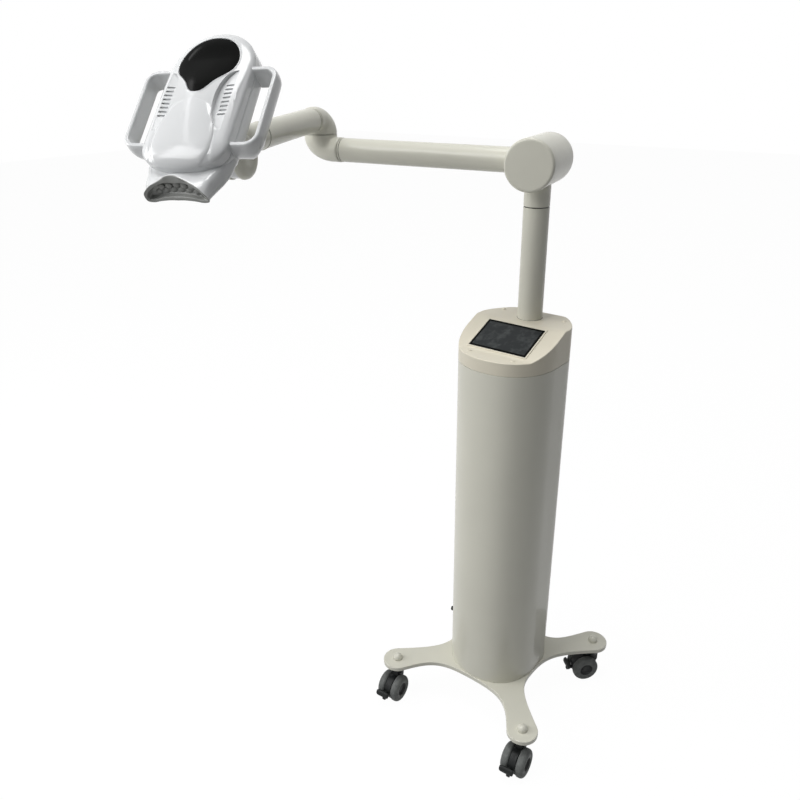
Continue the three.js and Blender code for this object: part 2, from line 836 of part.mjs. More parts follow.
// Elbow half: its joint face lies at zero height, the tube leaves towards +X above it.
function elbowHalf(tubeHeight, ringDistance, fall) {
  const radius = armRadius + ringProud;
  const circle = [];
  const loops = [];
  for (let k = 0; k < roundSegments; k += 1) {
    const angle = 2 * Math.PI * k / roundSegments;
    circle.push([Math.cos(angle), Math.sin(angle)]);
  }
  const loopBetween = (inner, outer, halfWidth) => {
    const middle = inner.clone().add(outer).divideScalar(2);
    const halfSpan = outer.clone().sub(inner).divideScalar(2);
    loops.push(circle.map(([c, s]) => new THREE.Vector3(
      middle.x + halfSpan.x * c, halfWidth * s, middle.y + halfSpan.y * c,
    )));
  };
  const across = point(Math.sin(fall), Math.cos(fall)).multiplyScalar(radius);
  const end = point(ringDistance, tubeHeight - ringDistance * Math.tan(fall));
  loopBetween(end.clone().sub(across), end.clone().add(across), radius);
  const innerTop = tubeHeight - elbowRadius * Math.tan(fall) - radius;
  const outerTop = innerTop + 2 * radius;
  for (let k = 0; k <= elbowSteps; k += 1) {
    const turn = Math.PI / 2 * k / elbowSteps;
    const inner = point(elbowRadius, innerTop * Math.cos(turn));
    const outer = point(
      elbowRadius - 2 * elbowRadius * Math.sin(turn) ** (2 / elbowPower),
      outerTop * Math.max(Math.cos(turn), 0) ** (2 / elbowPower),
    );
    if (k === elbowSteps) {
      inner.y = 0;
      outer.y = 0;
    }
    const blend = Math.sin(turn) ** 2;
    loopBetween(inner, outer, radius + (elbowRadius - radius) * blend);
  }
  const shell = solid(loft(loops));
  const spigot = solid(turnedAlongX(bar(ringInner - clearance, -overrun, spigotLength))
    .rotateY(fall).translate(end.x, 0, end.y));
  const bore = solid(bar(elbowPinRadius + clearance, -overrun, elbowPinDepth + clearance));
  return cut(join(shell, spigot), bore);
}

const elbowX = armReach * Math.cos(shoulderTurn);
const elbowY = mastY + armReach * Math.sin(shoulderTurn);
const armHeightAtElbow = elbowHeight - elbowRise;
const lowerFace = elbowHeight - elbowSeam / 2;
const upperFace = elbowHeight + elbowSeam / 2;

const lower = new THREE.Group();
lower.position.set(elbowX, elbowY, lowerFace);
lower.rotation.set(0, 0, shoulderTurn);
machine.add(lower);
place(lower, 'lower_elbow', elbowHalf(lowerFace - armHeightAtElbow, lowerRingDistance, -armLift)
  .rotate([180, 0, 180]), creamPaint);
place(lower, 'elbow_spigot', turned([
  [0, -elbowPinDepth],
  [elbowPinRadius, -elbowPinDepth],
  [elbowPinRadius, clearance],
  [elbowRadius - elbowSeam, clearance],
  [elbowRadius - elbowSeam, elbowSeam - clearance],
  [elbowPinRadius, elbowSeam - clearance],
  [elbowPinRadius, elbowSeam + elbowPinDepth],
  [0, elbowSeam + elbowPinDepth],
]), blackPlastic);

const upper = new THREE.Group();
upper.position.set(elbowX, elbowY, upperFace);
upper.rotation.set(0, 0, headTurn - Math.PI / 2);
machine.add(upper);
place(upper, 'upper_elbow', elbowHalf(
  forearmHeight - upperFace,
  upperRingDistance,
  forearmFall,
), creamPaint);

// Forearm frame: X to the head's left, Y back along the forearm, Z above it.
const forearm = new THREE.Group();
forearm.position.set(elbowX, elbowY, forearmHeight);
forearm.rotation.set(forearmFall, 0, headTurn, 'ZYX');
machine.add(forearm);
const alongForearm = (geometry) => geometry.rotateX(Math.PI / 2);
const forearmStart = upperRingDistance / Math.cos(forearmFall);
const wristBushDepth = spigotLength + ringWidth;
place(forearm, 'forearm_ring', alongForearm(
  pipe(armRadius + ringProud, ringInner, forearmStart + clearance, forearmStart + ringWidth),
), blackPlastic);
place(forearm, 'forearm_tube', alongForearm(
  pipe(forearmRadius, ringInner, forearmStart + ringWidth + clearance, wristRingDistance - ringWidth),
), creamPaint);
place(forearm, 'wrist_ring', alongForearm(turned([
  [wristSpigotRadius + clearance, wristRingDistance - wristBushDepth],
  [ringInner - clearance, wristRingDistance - wristBushDepth],
  [ringInner - clearance, wristRingDistance - ringWidth + clearance],
  [armRadius + ringProud, wristRingDistance - ringWidth + clearance],
  [armRadius + ringProud, wristRingDistance],
  [wristSpigotRadius + clearance, wristRingDistance],
  [wristSpigotRadius + clearance, wristRingDistance - wristBushDepth],
])), blackPlastic);

// Head frame: its origin is on the tilt axis, X along that axis.
const head = new THREE.Group();
head.position.set(
  elbowX + wristDistance * Math.sin(headTurn) + wristSide * Math.cos(headTurn),
  elbowY - wristDistance * Math.cos(headTurn) + wristSide * Math.sin(headTurn),
  forearmHeight - wristFall,
);
head.rotation.set(headTilt, headRoll, headTurn, 'ZXY');
machine.add(head);
machine.updateMatrixWorld(true);
const forearmToHead = head.matrixWorld.clone().invert().multiply(forearm.matrixWorld);
const pivotInForearm = new THREE.Vector3().applyMatrix4(forearmToHead.clone().invert());
const pivotDistance = -pivotInForearm.y;
const sleeveEnd = pivotDistance - sleeveEndBack;
const fromForearm = (geometry) => solid(alongForearm(geometry).applyMatrix4(forearmToHead));
const acrossWrist = (radius, half, segments) => solid(turnedAlongX(bar(radius, -half, half, segments)));

const cheeks = solid(turnedAlongX(turned([
  [0, -knuckleHalf],
  [knuckleRadius - knuckleRound, -knuckleHalf],
  [knuckleRadius - knuckleRound * (1 - Math.SQRT1_2), -knuckleHalf + knuckleRound * (1 - Math.SQRT1_2)],
  [knuckleRadius, -knuckleHalf + knuckleRound],
  [knuckleRadius, knuckleHalf - knuckleRound],
  [knuckleRadius - knuckleRound * (1 - Math.SQRT1_2), knuckleHalf - knuckleRound * (1 - Math.SQRT1_2)],
  [knuckleRadius - knuckleRound, knuckleHalf],
  [0, knuckleHalf],
])));
const sleeveTip = new THREE.SphereGeometry(forearmRadius, roundSegments, roundSegments / 2);
sleeveTip.rotateX(Math.PI / 2).translate(0, 0, sleeveEnd);
place(head, 'wrist_knuckle', cut(
  join(
    fromForearm(bar(forearmRadius, wristRingDistance + clearance, sleeveEnd)),
    fromForearm(sleeveTip),
    cheeks,
    fromForearm(bar(wristSpigotRadius, wristRingDistance - wristBushDepth, wristRingDistance + overrun)),
  ),
  acrossWrist(slotRadius, tongueHalf + clearance, roundSegments),
  acrossWrist(wristAxleRadius + clearance, knuckleHalf + overrun, smallSegments),
), creamPaint);
place(head, 'wrist_axle', turnedAlongX(
  bar(wristAxleRadius, -knuckleHalf + wristAxleInset, knuckleHalf - wristAxleInset, smallSegments),
), steel);

const neckTop = headFloor - clearance;
const neckFlangeBottom = neckTop - neckFlangeThickness;
function ellipseSlab(halfX, halfY, bottom, top) {
  const shape = new THREE.Shape();
  shape.absellipse(0, 0, halfX, halfY, 0, 2 * Math.PI, false, 0);
  return solid(slab(shape, bottom, top, roundSegments / 2));
}
place(head, 'head_neck', cut(
  join(
    acrossWrist(tongueRadius, tongueHalf, roundSegments),
    boxBetween([-tongueHalf, -neckPostThick, 0], [tongueHalf, neckPostThick, neckFlangeBottom]),
    ellipseSlab(neckPostHalf, neckPostThick, slotRadius + overrun, neckTop),
    ellipseSlab(neckFlangeHalf, neckFlangeHalfY, neckFlangeBottom, neckTop),
  ),
  acrossWrist(wristAxleRadius + clearance, knuckleHalf, smallSegments),
), glossWhite);

// Plan outline of the head at one height: a round back, straight sides and a blunt front.
function headLoop(inset, height, frontReach) {
  const points = [];
  for (let k = 0; k < headOutlinePoints; k += 1) {
    const angle = 2 * Math.PI * k / headOutlinePoints;
    const c = Math.cos(angle);
    const s = Math.sin(angle);
    const half = headHalfWidth - inset;
    points.push(s >= 0
      ? new THREE.Vector3(half * c, headBackCentre + (headBackReach - inset) * s, height)
      : new THREE.Vector3(
        half * Math.sign(c) * Math.abs(c) ** (2 / headFrontPower),
        headFrontStart - (frontReach - inset) * Math.abs(s) ** (2 / headFrontPower),
        height,
      ));
  }
  return points;
}

// Nozzle section, from the mouth at share 0 to the root at share 1.
const nozzleStations = [
  [0, [mouthBottomY, mouthBottomZ], [mouthTopY, mouthTopZ], mouthHalfWidth, 0.25, 1.6],
  [0.25, [throatBottomY, throatBottomZ], [throatTopY, throatTopZ], throatHalfWidth, 0.25, 1.4],
  [0.65, [waistBottomY, waistBottomZ], [waistTopY, waistTopZ], waistHalfWidth, 0.45, 0.8],
  [1, [rootY, rootBottomZ], [rootY, rootTopZ], rootHalfWidth, 0.5, 0.6],
];

function nozzleLoop(share, inset) {
  const above = Math.max(nozzleStations.findIndex((station) => station[0] >= share), 1);
  const low = nozzleStations[above - 1];
  const high = nozzleStations[above];
  const blend = (share - low[0]) / (high[0] - low[0]);
  const mix = (a, b) => a + (b - a) * blend;
  const bottom = point(mix(low[1][0], high[1][0]), mix(low[1][1], high[1][1]));
  const top = point(mix(low[2][0], high[2][0]), mix(low[2][1], high[2][1]));
  const half = mix(low[3], high[3]) - inset;
  const endLevel = mix(low[4], high[4]);
  const power = mix(low[5], high[5]);
  const rise = top.clone().sub(bottom);
  const wall = inset / rise.length();
  const points = [];
  for (let k = 0; k < nozzlePoints; k += 1) {
    const angle = 2 * Math.PI * (k + 0.5) / nozzlePoints;
    const c = Math.cos(angle);
    const s = Math.sin(angle);
    const x = -half * Math.sign(c) * Math.abs(c) ** nozzleCornerShare;
    const reach = s >= 0 ? 1 - wall - endLevel : endLevel - wall;
    const level = endLevel + Math.sign(s) * Math.abs(s) ** (s >= 0 ? power : 0.5) * Math.max(reach, 0);
    points.push(new THREE.Vector3(x, bottom.x + rise.x * level, bottom.y + rise.y * level));
  }
  return points;
}

const nozzleBody = (shares, inset) => solid(loft(shares.map((share) => nozzleLoop(share, inset))));
const nozzleShares = [0, 0.125, 0.25, 0.45, 0.65, 1];
const nozzleOuter = nozzleBody(nozzleShares, 0);

// Opening that the nozzle needs in the lower shell.
const moved = (loop, y, z) => loop.map((p) => new THREE.Vector3(p.x, p.y + y, p.z + z));
const nozzleEnvelope = solid(loft([
  ...nozzleShares.map((share) => nozzleLoop(share, -clearance)),
  moved(nozzleLoop(1, -clearance), clearance, 0),
]));

// Lower shell: a tray with the nozzle's opening and the fan's pin.
const lowerTop = headParting - clearance / 2;
const lowerEdge = lowerEdgeShares.map(([inset, rise]) => [inset * lowerEdgeInset, rise * lowerEdgeRise]);
const lowerSkin = (wall) => [
  ...lowerEdge.map(([inset, rise]) => headLoop(inset + wall, headFloor + wall + rise, lowerFrontReach)),
  headLoop(wall, bumperBottom, lowerFrontReach + (bumperLip - bumperBottom)),
  headLoop(wall, bumperLip, headFrontReach),
  headLoop(wall, lowerTop, headFrontReach),
];
const onHead = (geometry, x, y) => geometry.translate(x, y, 0);
place(head, 'head_lower_shell', join(
  cut(solid(loft([...lowerSkin(0), ...lowerSkin(headWall).reverse()])), nozzleEnvelope),
  solid(onHead(bar(fanBossRadius, headFloor + clearance, fanHeight - clearance, smallSegments), 0, fanY)),
  solid(onHead(bar(fanPinRadius, headFloor + clearance, fanHeight + fanDepth, smallSegments), 0, fanY)),
), glossWhite);

// Window: a round end that runs into a blunt tip.
function windowShape(margin) {
  const radius = windowRadius + margin;
  const tipRadius = windowTipRadius + margin;
  const tipCentreY = windowTipY + windowTipRadius;
  const start = point(
    tipRadius * Math.cos(windowTipAngle),
    tipCentreY + tipRadius * Math.sin(windowTipAngle),
  );
  const end = point(
    radius * Math.cos(windowShoulder),
    windowCentreY + radius * Math.sin(windowShoulder),
  );
  const startHandle = point(-Math.sin(windowTipAngle), Math.cos(windowTipAngle))
    .multiplyScalar(windowTipHandle).add(start);
  const endHandle = point(Math.sin(windowShoulder), -Math.cos(windowShoulder))
    .multiplyScalar(windowShoulderHandle).add(end);
  const right = [];
  for (let k = 0; k < cornerSegments; k += 1) {
    const angle = -Math.PI / 2 + (windowTipAngle + Math.PI / 2) * k / (cornerSegments);
    right.push(point(tipRadius * Math.cos(angle), tipCentreY + tipRadius * Math.sin(angle)));
  }
  right.push(...new THREE.CubicBezierCurve(start, startHandle, endHandle, end).getPoints(curveSegments));
  for (let k = 1; k <= curveSegments; k += 1) {
    const angle = windowShoulder + (Math.PI / 2 - windowShoulder) * k / curveSegments;
    right.push(point(radius * Math.cos(angle), windowCentreY + radius * Math.sin(angle)));
  }
  return new THREE.Shape([...right, ...mirrored(right).slice(1, -1)]);
}

// Vent: a straight outer edge and an inner edge that bulges towards the middle.
function ventShape(side, margin) {
  const outer = ventOuterX + margin;
  const back = ventBackY + margin;
  const front = ventFrontY - margin;
  const bulge = (ventInnerX - margin - outer / 4) * 4 / 3;
  const curve = new THREE.CubicBezierCurve(
    point(outer, back),
    point(bulge, back),
    point(bulge, front),
    point(outer, front),
  );
  const points = curve.getPoints(curveSegments);
  return new THREE.Shape(side > 0 ? points : mirrored(points));
}

const upperBottom = headParting + clearance / 2;
const upperEdge = upperEdgeShares.map(([inset, rise]) => [
  inset * upperEdgeInset,
  headTop - upperEdgeRise * (1 - rise),
]);
const upperSkin = (wall) => [
  headLoop(wall, upperBottom, headFrontReach),
  ...upperEdge.map(([inset, height]) => headLoop(inset + wall, height - wall, headFrontReach)),
];
const ventTop = headTop - ventDrop;
const ventSides = { left: 1, right: -1 };
place(head, 'head_upper_shell', cut(
  solid(loft([...upperSkin(headWall).reverse(), ...upperSkin(0)])),
  solid(slab(windowShape(clearance), headTop - headWall - overrun, headTop + overrun)),
  ...Object.values(ventSides).map((side) => solid(
    slab(ventShape(side, clearance), headTop - headWall - overrun, headTop + overrun),
  )),
), glossWhite);
place(head, 'head_window', slab(windowShape(0), headTop - windowDepth, headTop), blackGloss);

Object.entries(ventSides).forEach(([name, side]) => {
  const slots = [];
  for (let k = 0; k < ventSlotCount; k += 1) {
    const y = ventFirstY - ventSlotPitch * k;
    slots.push(boxBetween(
      [side * ventSlotX - ventSlotLength / 2, y - ventSlotWidth / 2, ventTop - ventThickness - overrun],
      [side * ventSlotX + ventSlotLength / 2, y + ventSlotWidth / 2, ventTop + overrun],
    ));
  }
  place(head, `vent_grille_${name}`, cut(
    solid(slab(ventShape(side, 0), ventTop - ventThickness, ventTop)),
    ...slots,
  ), glossWhite);
});

// Handles: flat ribbons that stand off both sides of the head.
function handleShape(side) {
  const root = headHalfWidth + clearance;
  const inner = handleCorner - handleThick;
  const backCorner = handleBackY - handleCorner;
  const frontCorner = handleFrontY + handleCorner;
  const cornerX = handleOuterX - handleCorner;
  const arc = (y, radius, from, to) => {
    const points = [];
    for (let k = 0; k <= cornerSegments; k += 1) {
      const angle = from + (to - from) * k / (cornerSegments);
      points.push(point(cornerX + radius * Math.cos(angle), y + radius * Math.sin(angle)));
    }
    return points;
  };
  const points = [
    point(root, handleFrontY),
    ...arc(frontCorner, handleCorner, -Math.PI / 2, 0),
    ...arc(backCorner, handleCorner, 0, Math.PI / 2),
    point(root, handleBackY),
    point(root, handleBackY - handleThick),
    ...arc(backCorner, inner, Math.PI / 2, 0),
    ...arc(frontCorner, inner, 0, -Math.PI / 2),
    point(root, handleFrontY + handleThick),
  ];
  return new THREE.Shape(side > 0 ? points : mirrored(points));
}
Object.entries(ventSides).forEach(([name, side]) => {
  place(head, `handle_${name}`, slab(handleShape(side), handleTop - handleTall, handleTop), glossWhite);
});

// Nozzle: a scoop whose mouth faces forward, with the lens plate and the light board inside.
place(head, 'nozzle', cut(
  nozzleOuter,
  solid(loft([
    moved(nozzleLoop(0, nozzleWall), -overrun, overrun),
    ...nozzleShares.map((share) => nozzleLoop(share, nozzleWall)),
    moved(nozzleLoop(1, nozzleWall), overrun, 0),
  ])),
), greyPlastic);

// Loop between the two nozzle sections round the lenses, drawn in to sit inside the wall.
function insertLoop(share) {
  const near = nozzleLoop(lensShares[0], nozzleWall + 2 * clearance);
  const far = nozzleLoop(lensShares[1], nozzleWall + 2 * clearance);
  return near.map((p, k) => p.clone().lerp(far[k], share));
}
const lensFace = insertLoop(lensStartShare);
const lensBottom = lensFace[Math.floor(nozzlePoints * 3 / 4)];
const lensCrown = lensFace[Math.floor(nozzlePoints / 4)];
const lensCentre = lensBottom.clone().lerp(lensCrown, lensLevelShare);
const lenses = [];
for (let k = 0; k < lensCount; k += 1) {
  const x = (k - (lensCount - 1) / 2) * lensPitch;
  const lens = new THREE.SphereGeometry(lensRadius, smallSegments / 2, smallSegments / 2);
  lenses.push(solid(lens.translate(x, lensCentre.y, lensCentre.z)));
}
place(head, 'lens_plate', join(
  solid(loft([insertLoop(lensStartShare), insertLoop(lensEndShare)])),
  ...lenses,
), greyPlastic);
place(head, 'light_board', loft([
  insertLoop(boardStartShare),
  insertLoop(boardEndShare),
]), aluminium);

// Fan rotor on the pin of the lower shell.
const blades = [];
for (let k = 0; k < bladeCount; k += 1) {
  const blade = new THREE.BoxGeometry(fanRadius - fanHubRadius + overrun, bladeThickness, fanDepth);
  blade.rotateX(bladePitch);
  blade.translate((fanRadius + fanHubRadius - overrun) / 2, 0, fanHeight + fanDepth / 2);
  blade.rotateZ(2 * Math.PI * k / bladeCount);
  blades.push(solid(blade.translate(0, fanY, 0)));
}
const fanHub = onHead(bar(fanHubRadius, fanHeight, fanHeight + fanDepth, smallSegments), 0, fanY);
const fanBore = bar(
  fanPinRadius + clearance,
  fanHeight - overrun,
  fanHeight + fanDepth + overrun,
  smallSegments,
);
place(head, 'fan_rotor', cut(
  join(solid(fanHub), ...blades),
  solid(onHead(fanBore, 0, fanY)),
), blackPlastic);

// Casters, all in frames whose X trails behind the stem
const axleZ = wheelRadius - casterHeight;
const wheelStart = casterBodyHalf + clearance;
const wheelEnd = wheelStart + wheelWidth;
const tyreCorner = tyreRound * (1 - Math.SQRT1_2);
const wheelHalf = [
  [wheelAxleRadius, wheelStart],
  [wheelRadius - tyreRound, wheelStart],
  [wheelRadius, wheelStart + tyreRound],
  [wheelRadius, wheelEnd - tyreRound],
  [wheelRadius - tyreCorner, wheelEnd - tyreCorner],
  [wheelRadius - tyreRound, wheelEnd],
  [wheelHubRadius, wheelEnd],
  [wheelHubRadius, wheelEnd - wheelHubRecess],
  [0, wheelEnd - wheelHubRecess],
];
const wheelProfile = [...wheelHalf.map(([r, y]) => [r, -y]).reverse(), ...wheelHalf];
const atAxle = (geometry) => geometry.translate(casterTrail, 0, axleZ);
const atPedal = (geometry) => atAxle(geometry).translate(pedalPivotReach, 0, pedalPivotRise);
const acrossCaster = (radius, half, segments = smallSegments) => turnedAlongY(
  bar(radius, -half, half, segments),
);
const pedalBox = (from, to, half, low, high, turn) => {
  const geometry = new THREE.BoxGeometry(to - from, 2 * half, high - low);
  geometry.translate((from + to) / 2, 0, (low + high) / 2).rotateY(turn);
  return solid(atPedal(geometry));
};

Object.entries(casterPlaces).forEach(([name, [x, y]]) => {
  const caster = new THREE.Group();
  caster.position.set(x, y, 0);
  caster.rotation.set(0, 0, casterAngles[name]);
  machine.add(caster);

  const stemSeat = plateThickness + clearance;
  place(caster, `caster_stem_${name}`, turned([
    [0, -stemLength],
    [stemRadius, -stemLength],
    [stemRadius, stemSeat],
    ...domeShares.map(([r, z]) => [r * domeRadius, stemSeat + z * domeHeight]),
  ], smallSegments), creamPaint);

  const slotHalfWidth = pedalEyeHalf + clearance;
  const slotReach = pedalArmLength + casterBodyRadius - pedalPivotReach;
  place(caster, `caster_body_${name}`, join(
    cut(
      join(
        solid(bar(casterCollarRadius, -casterTopGap - casterCollarHeight, -casterTopGap)),
        solid(bar(casterSocketRadius, -casterSocketBottom, -casterTopGap, smallSegments)),
        solid(atAxle(acrossCaster(casterBodyRadius, casterBodyHalf, roundSegments))),
        boxBetween(
          [-casterSocketRadius, -casterBodyHalf, axleZ],
          [casterTrail, casterBodyHalf, -casterTopGap - casterCollarHeight / 2],
        ),
      ),
      solid(bar(stemRadius + clearance, -stemLength - clearance, overrun, smallSegments)),
      solid(atAxle(acrossCaster(wheelAxleRadius + clearance, casterBodyHalf + overrun))),
      solid(atPedal(acrossCaster(pedalEyeRadius + clearance, slotHalfWidth))),
      pedalBox(0, slotReach, slotHalfWidth, -slotHalfWidth, slotHalfWidth, pedalDrop),
      pedalBox(0, slotReach, slotHalfWidth, -slotHalfWidth, slotHalfWidth, pedalDrop + pedalTravel),
    ),
    solid(atPedal(acrossCaster(pedalPinRadius, slotHalfWidth + overrun))),
  ), blackPlastic);

  place(caster, `caster_wheels_${name}`, atAxle(turnedAlongY(turned(wheelProfile))), greyTyre);

  const treadEnd = pedalArmLength + pedalTreadLength;
  const treadHalf = pedalTreadThickness / 2;
  place(caster, `caster_pedal_${name}`, cut(
    join(
      solid(atPedal(acrossCaster(pedalEyeRadius, pedalEyeHalf))),
      pedalBox(0, pedalArmLength + overrun, pedalEyeHalf, -pedalEyeHalf, pedalEyeHalf, pedalDrop),
      pedalBox(pedalArmLength, treadEnd, pedalTreadHalf, -treadHalf, treadHalf, pedalDrop),
      pedalBox(treadEnd - overrun, treadEnd + pedalStepLength, pedalStepHalf, -treadHalf, 0, pedalDrop),
    ),
    solid(atPedal(acrossCaster(pedalPinRadius + clearance, pedalEyeHalf + overrun))),
  ), blackPlastic);
});

export default machine;
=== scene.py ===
"""Looks of the teeth whitening machine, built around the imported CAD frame.

Lengths are in millimetres until a mesh is made. Camera, floor and lamps are in metres.
"""
import math

import bmesh
import bpy
from mathutils import Matrix, Vector, geometry


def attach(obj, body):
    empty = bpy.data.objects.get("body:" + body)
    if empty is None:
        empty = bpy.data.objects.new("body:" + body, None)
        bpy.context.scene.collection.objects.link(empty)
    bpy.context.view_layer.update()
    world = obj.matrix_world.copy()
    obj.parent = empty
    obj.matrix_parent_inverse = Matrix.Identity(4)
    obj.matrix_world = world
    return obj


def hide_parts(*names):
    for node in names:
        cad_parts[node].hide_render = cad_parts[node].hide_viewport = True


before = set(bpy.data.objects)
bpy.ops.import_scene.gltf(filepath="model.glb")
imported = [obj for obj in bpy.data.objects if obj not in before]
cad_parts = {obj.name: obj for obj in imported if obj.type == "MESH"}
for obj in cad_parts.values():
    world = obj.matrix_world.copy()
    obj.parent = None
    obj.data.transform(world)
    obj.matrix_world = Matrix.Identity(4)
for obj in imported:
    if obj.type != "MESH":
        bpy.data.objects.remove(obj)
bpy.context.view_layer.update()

MILLIMETRE = 0.001
MERGE_DISTANCE = 1e-6
ON_AXIS = 1e-6
FLAT_WEIGHT = 90
CLEARANCE = 0.3
SIDES = {"left": 1, "right": -1}
IDENTITY = Matrix.Identity(4)


# Frames and numbers

def rotation(degrees, axis):
    return Matrix.Rotation(math.radians(degrees), 4, axis)


def shift(x, y, z):
    return Matrix.Translation((x, y, z))


def mix(a, b, share):
    return a + (b - a) * share


def clamp(value):
    return max(0.0, min(1.0, value))


def ease(share):
    """A soft step from 0 to 1."""
    return share * share * (3 - 2 * share)


ALONG_X = rotation(90, "Y")
ALONG_Y = rotation(-90, "X")


# Lines and loops

def oval(half_x, half_y, height, count):
    turns = [2 * math.pi * k / count for k in range(count)]
    return [(half_x * math.cos(turn), half_y * math.sin(turn), height) for turn in turns]


def arc(radius, x, y, start, end, steps):
    """Points of a circular arc about (x, y), its angles in degrees."""
    turns = [math.radians(start + (end - start) * k / steps) for k in range(steps + 1)]
    return [(x + radius * math.cos(turn), y + radius * math.sin(turn)) for turn in turns]


def quarter(steps):
    """Cosines and sines from 0 to 90 degrees."""
    return arc(1, 0, 0, 0, 90, steps)


def bezier(a, b, c, d, steps):
    points = []
    for k in range(steps + 1):
        t = k / steps
        u = 1 - t
        weights = (u ** 3, 3 * u * u * t, 3 * u * t * t, t ** 3)
        points.append(tuple(sum(w * p for w, p in zip(weights, place)) for place in zip(a, b, c, d)))
    return points


def smooth_line(points, steps=6):
    """A Catmull-Rom line through points."""
    padded = [points[0], *points, points[-1]]
    line = []
    for around in zip(padded, padded[1:], padded[2:], padded[3:]):
        for step in range(steps):
            t = step / steps
            line.append(tuple(
                0.5 * (2 * b + (c - a) * t + (2 * a - 5 * b + 4 * c - d) * t * t
                       + (3 * (b - c) - a + d) * t ** 3)
                for a, b, c, d in zip(*around)
            ))
    line.append(points[-1])
    return line


def mirrored_loop(right):
    """A closed loop from its right half, which starts and ends on the middle plane."""
    return right + [(-x, *rest) for x, *rest in reversed(right[1:-1])]


def inset_loop(points, inset):
    """A closed anticlockwise outline moved inwards along its corner normals."""
    moved = []
    for k, (x, y) in enumerate(points):
        before, after = points[k - 1], points[(k + 1) % len(points)]
        along = Vector((after[0] - before[0], after[1] - before[1]))
        along.normalize()
        moved.append((x - along.y * inset, y + along.x * inset))
    return moved


def at_height(outline, height):
    return [(x, y, height) for x, y in outline]


# Meshes

def lathe(profile, segments=96):
    """Body turned about Z from pairs of radius and height."""
    vertices, faces, rings = [], [], []
    for radius, height in profile:
        count = segments if radius >= ON_AXIS else 1
        rings.append(range(len(vertices), len(vertices) + count))
        vertices += oval(radius, radius, height, count)
    for low, high in zip(rings, rings[1:]):
        for k in range(segments):
            n = (k + 1) % segments
            corners = [low[k % len(low)], low[n % len(low)], high[n % len(high)], high[k % len(high)]]
            corners = list(dict.fromkeys(corners))
            if len(corners) > 2:
                faces.append(corners)
    return vertices, faces


def skin(loops, close_start=False, close_end=False):
    """Quads between closed loops that have the same number of points."""
    count = len(loops[0])
    vertices = [p for loop in loops for p in loop]
    faces = []
    for a in range(0, (len(loops) - 1) * count, count):
        b = a + count
        faces += [[a + k, a + (k + 1) % count, b + (k + 1) % count, b + k] for k in range(count)]
    if close_start:
        faces.append(list(range(count)))
    if close_end:
        faces.append(list(range((len(loops) - 1) * count, len(loops) * count)))
    return vertices, faces


def flat_wall(loop, top, depth):
    """A wall down from a plan loop at the height that a function gives."""
    return skin([[(x, y, top(x, y)) for x, y in loop], [(x, y, top(x, y) - depth) for x, y in loop]])


def trimmed(mesh, dropped):
    """A mesh without the faces whose middle passes a test."""
    points, faces = mesh
    middles = [sum((Vector(points[k]) for k in face), Vector()) / len(face) for face in faces]
    return points, [face for face, middle in zip(faces, middles) if not dropped(middle)]


def placed(matrix, *meshes, look=0):
    """Parts for piece() that share a frame and a look."""
    return [(*mesh, matrix, look) for mesh in meshes]


def piece(name, body, slot, looks, parts, sharp=35.0, replaces=(), flat_first=False):
    """One object that rides a body, from (vertices, faces, matrix, look index) parts."""
    mesh = bpy.data.meshes.new(name)
    vertices, faces, indices = [], [], []
    for points, polygons, matrix, look in parts:
        start = len(vertices)
        vertices += [(matrix @ Vector(p)) * MILLIMETRE for p in points]
        faces += [[start + k for k in polygon] for polygon in polygons]
        indices += [look] * len(polygons)
    mesh.from_pydata(vertices, [], faces)
    for look in looks if isinstance(looks, list) else [looks]:
        mesh.materials.append(look)
    mesh.polygons.foreach_set("material_index", indices)
    merged = bmesh.new()
    merged.from_mesh(mesh)
    bmesh.ops.remove_doubles(merged, verts=merged.verts, dist=MERGE_DISTANCE)
    bmesh.ops.recalc_face_normals(merged, faces=merged.faces)
    merged.to_mesh(mesh)
    merged.free()
    mesh.polygons.foreach_set("use_smooth", [True] * len(mesh.polygons))
    mesh.set_sharp_from_angle(angle=math.radians(sharp))
    made = bpy.data.objects.new(name, mesh)
    bpy.context.scene.collection.objects.link(made)
    if flat_first:
        weighted = made.modifiers.new("flats", "WEIGHTED_NORMAL")
        weighted.keep_sharp = True
        weighted.weight = FLAT_WEIGHT
    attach(made, body)
    if replaces:
        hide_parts(*replaces)


# Materials

TONE_EDGES = (0.35, 0.65)
GLOSS_EDGES = (0.3, 0.7)


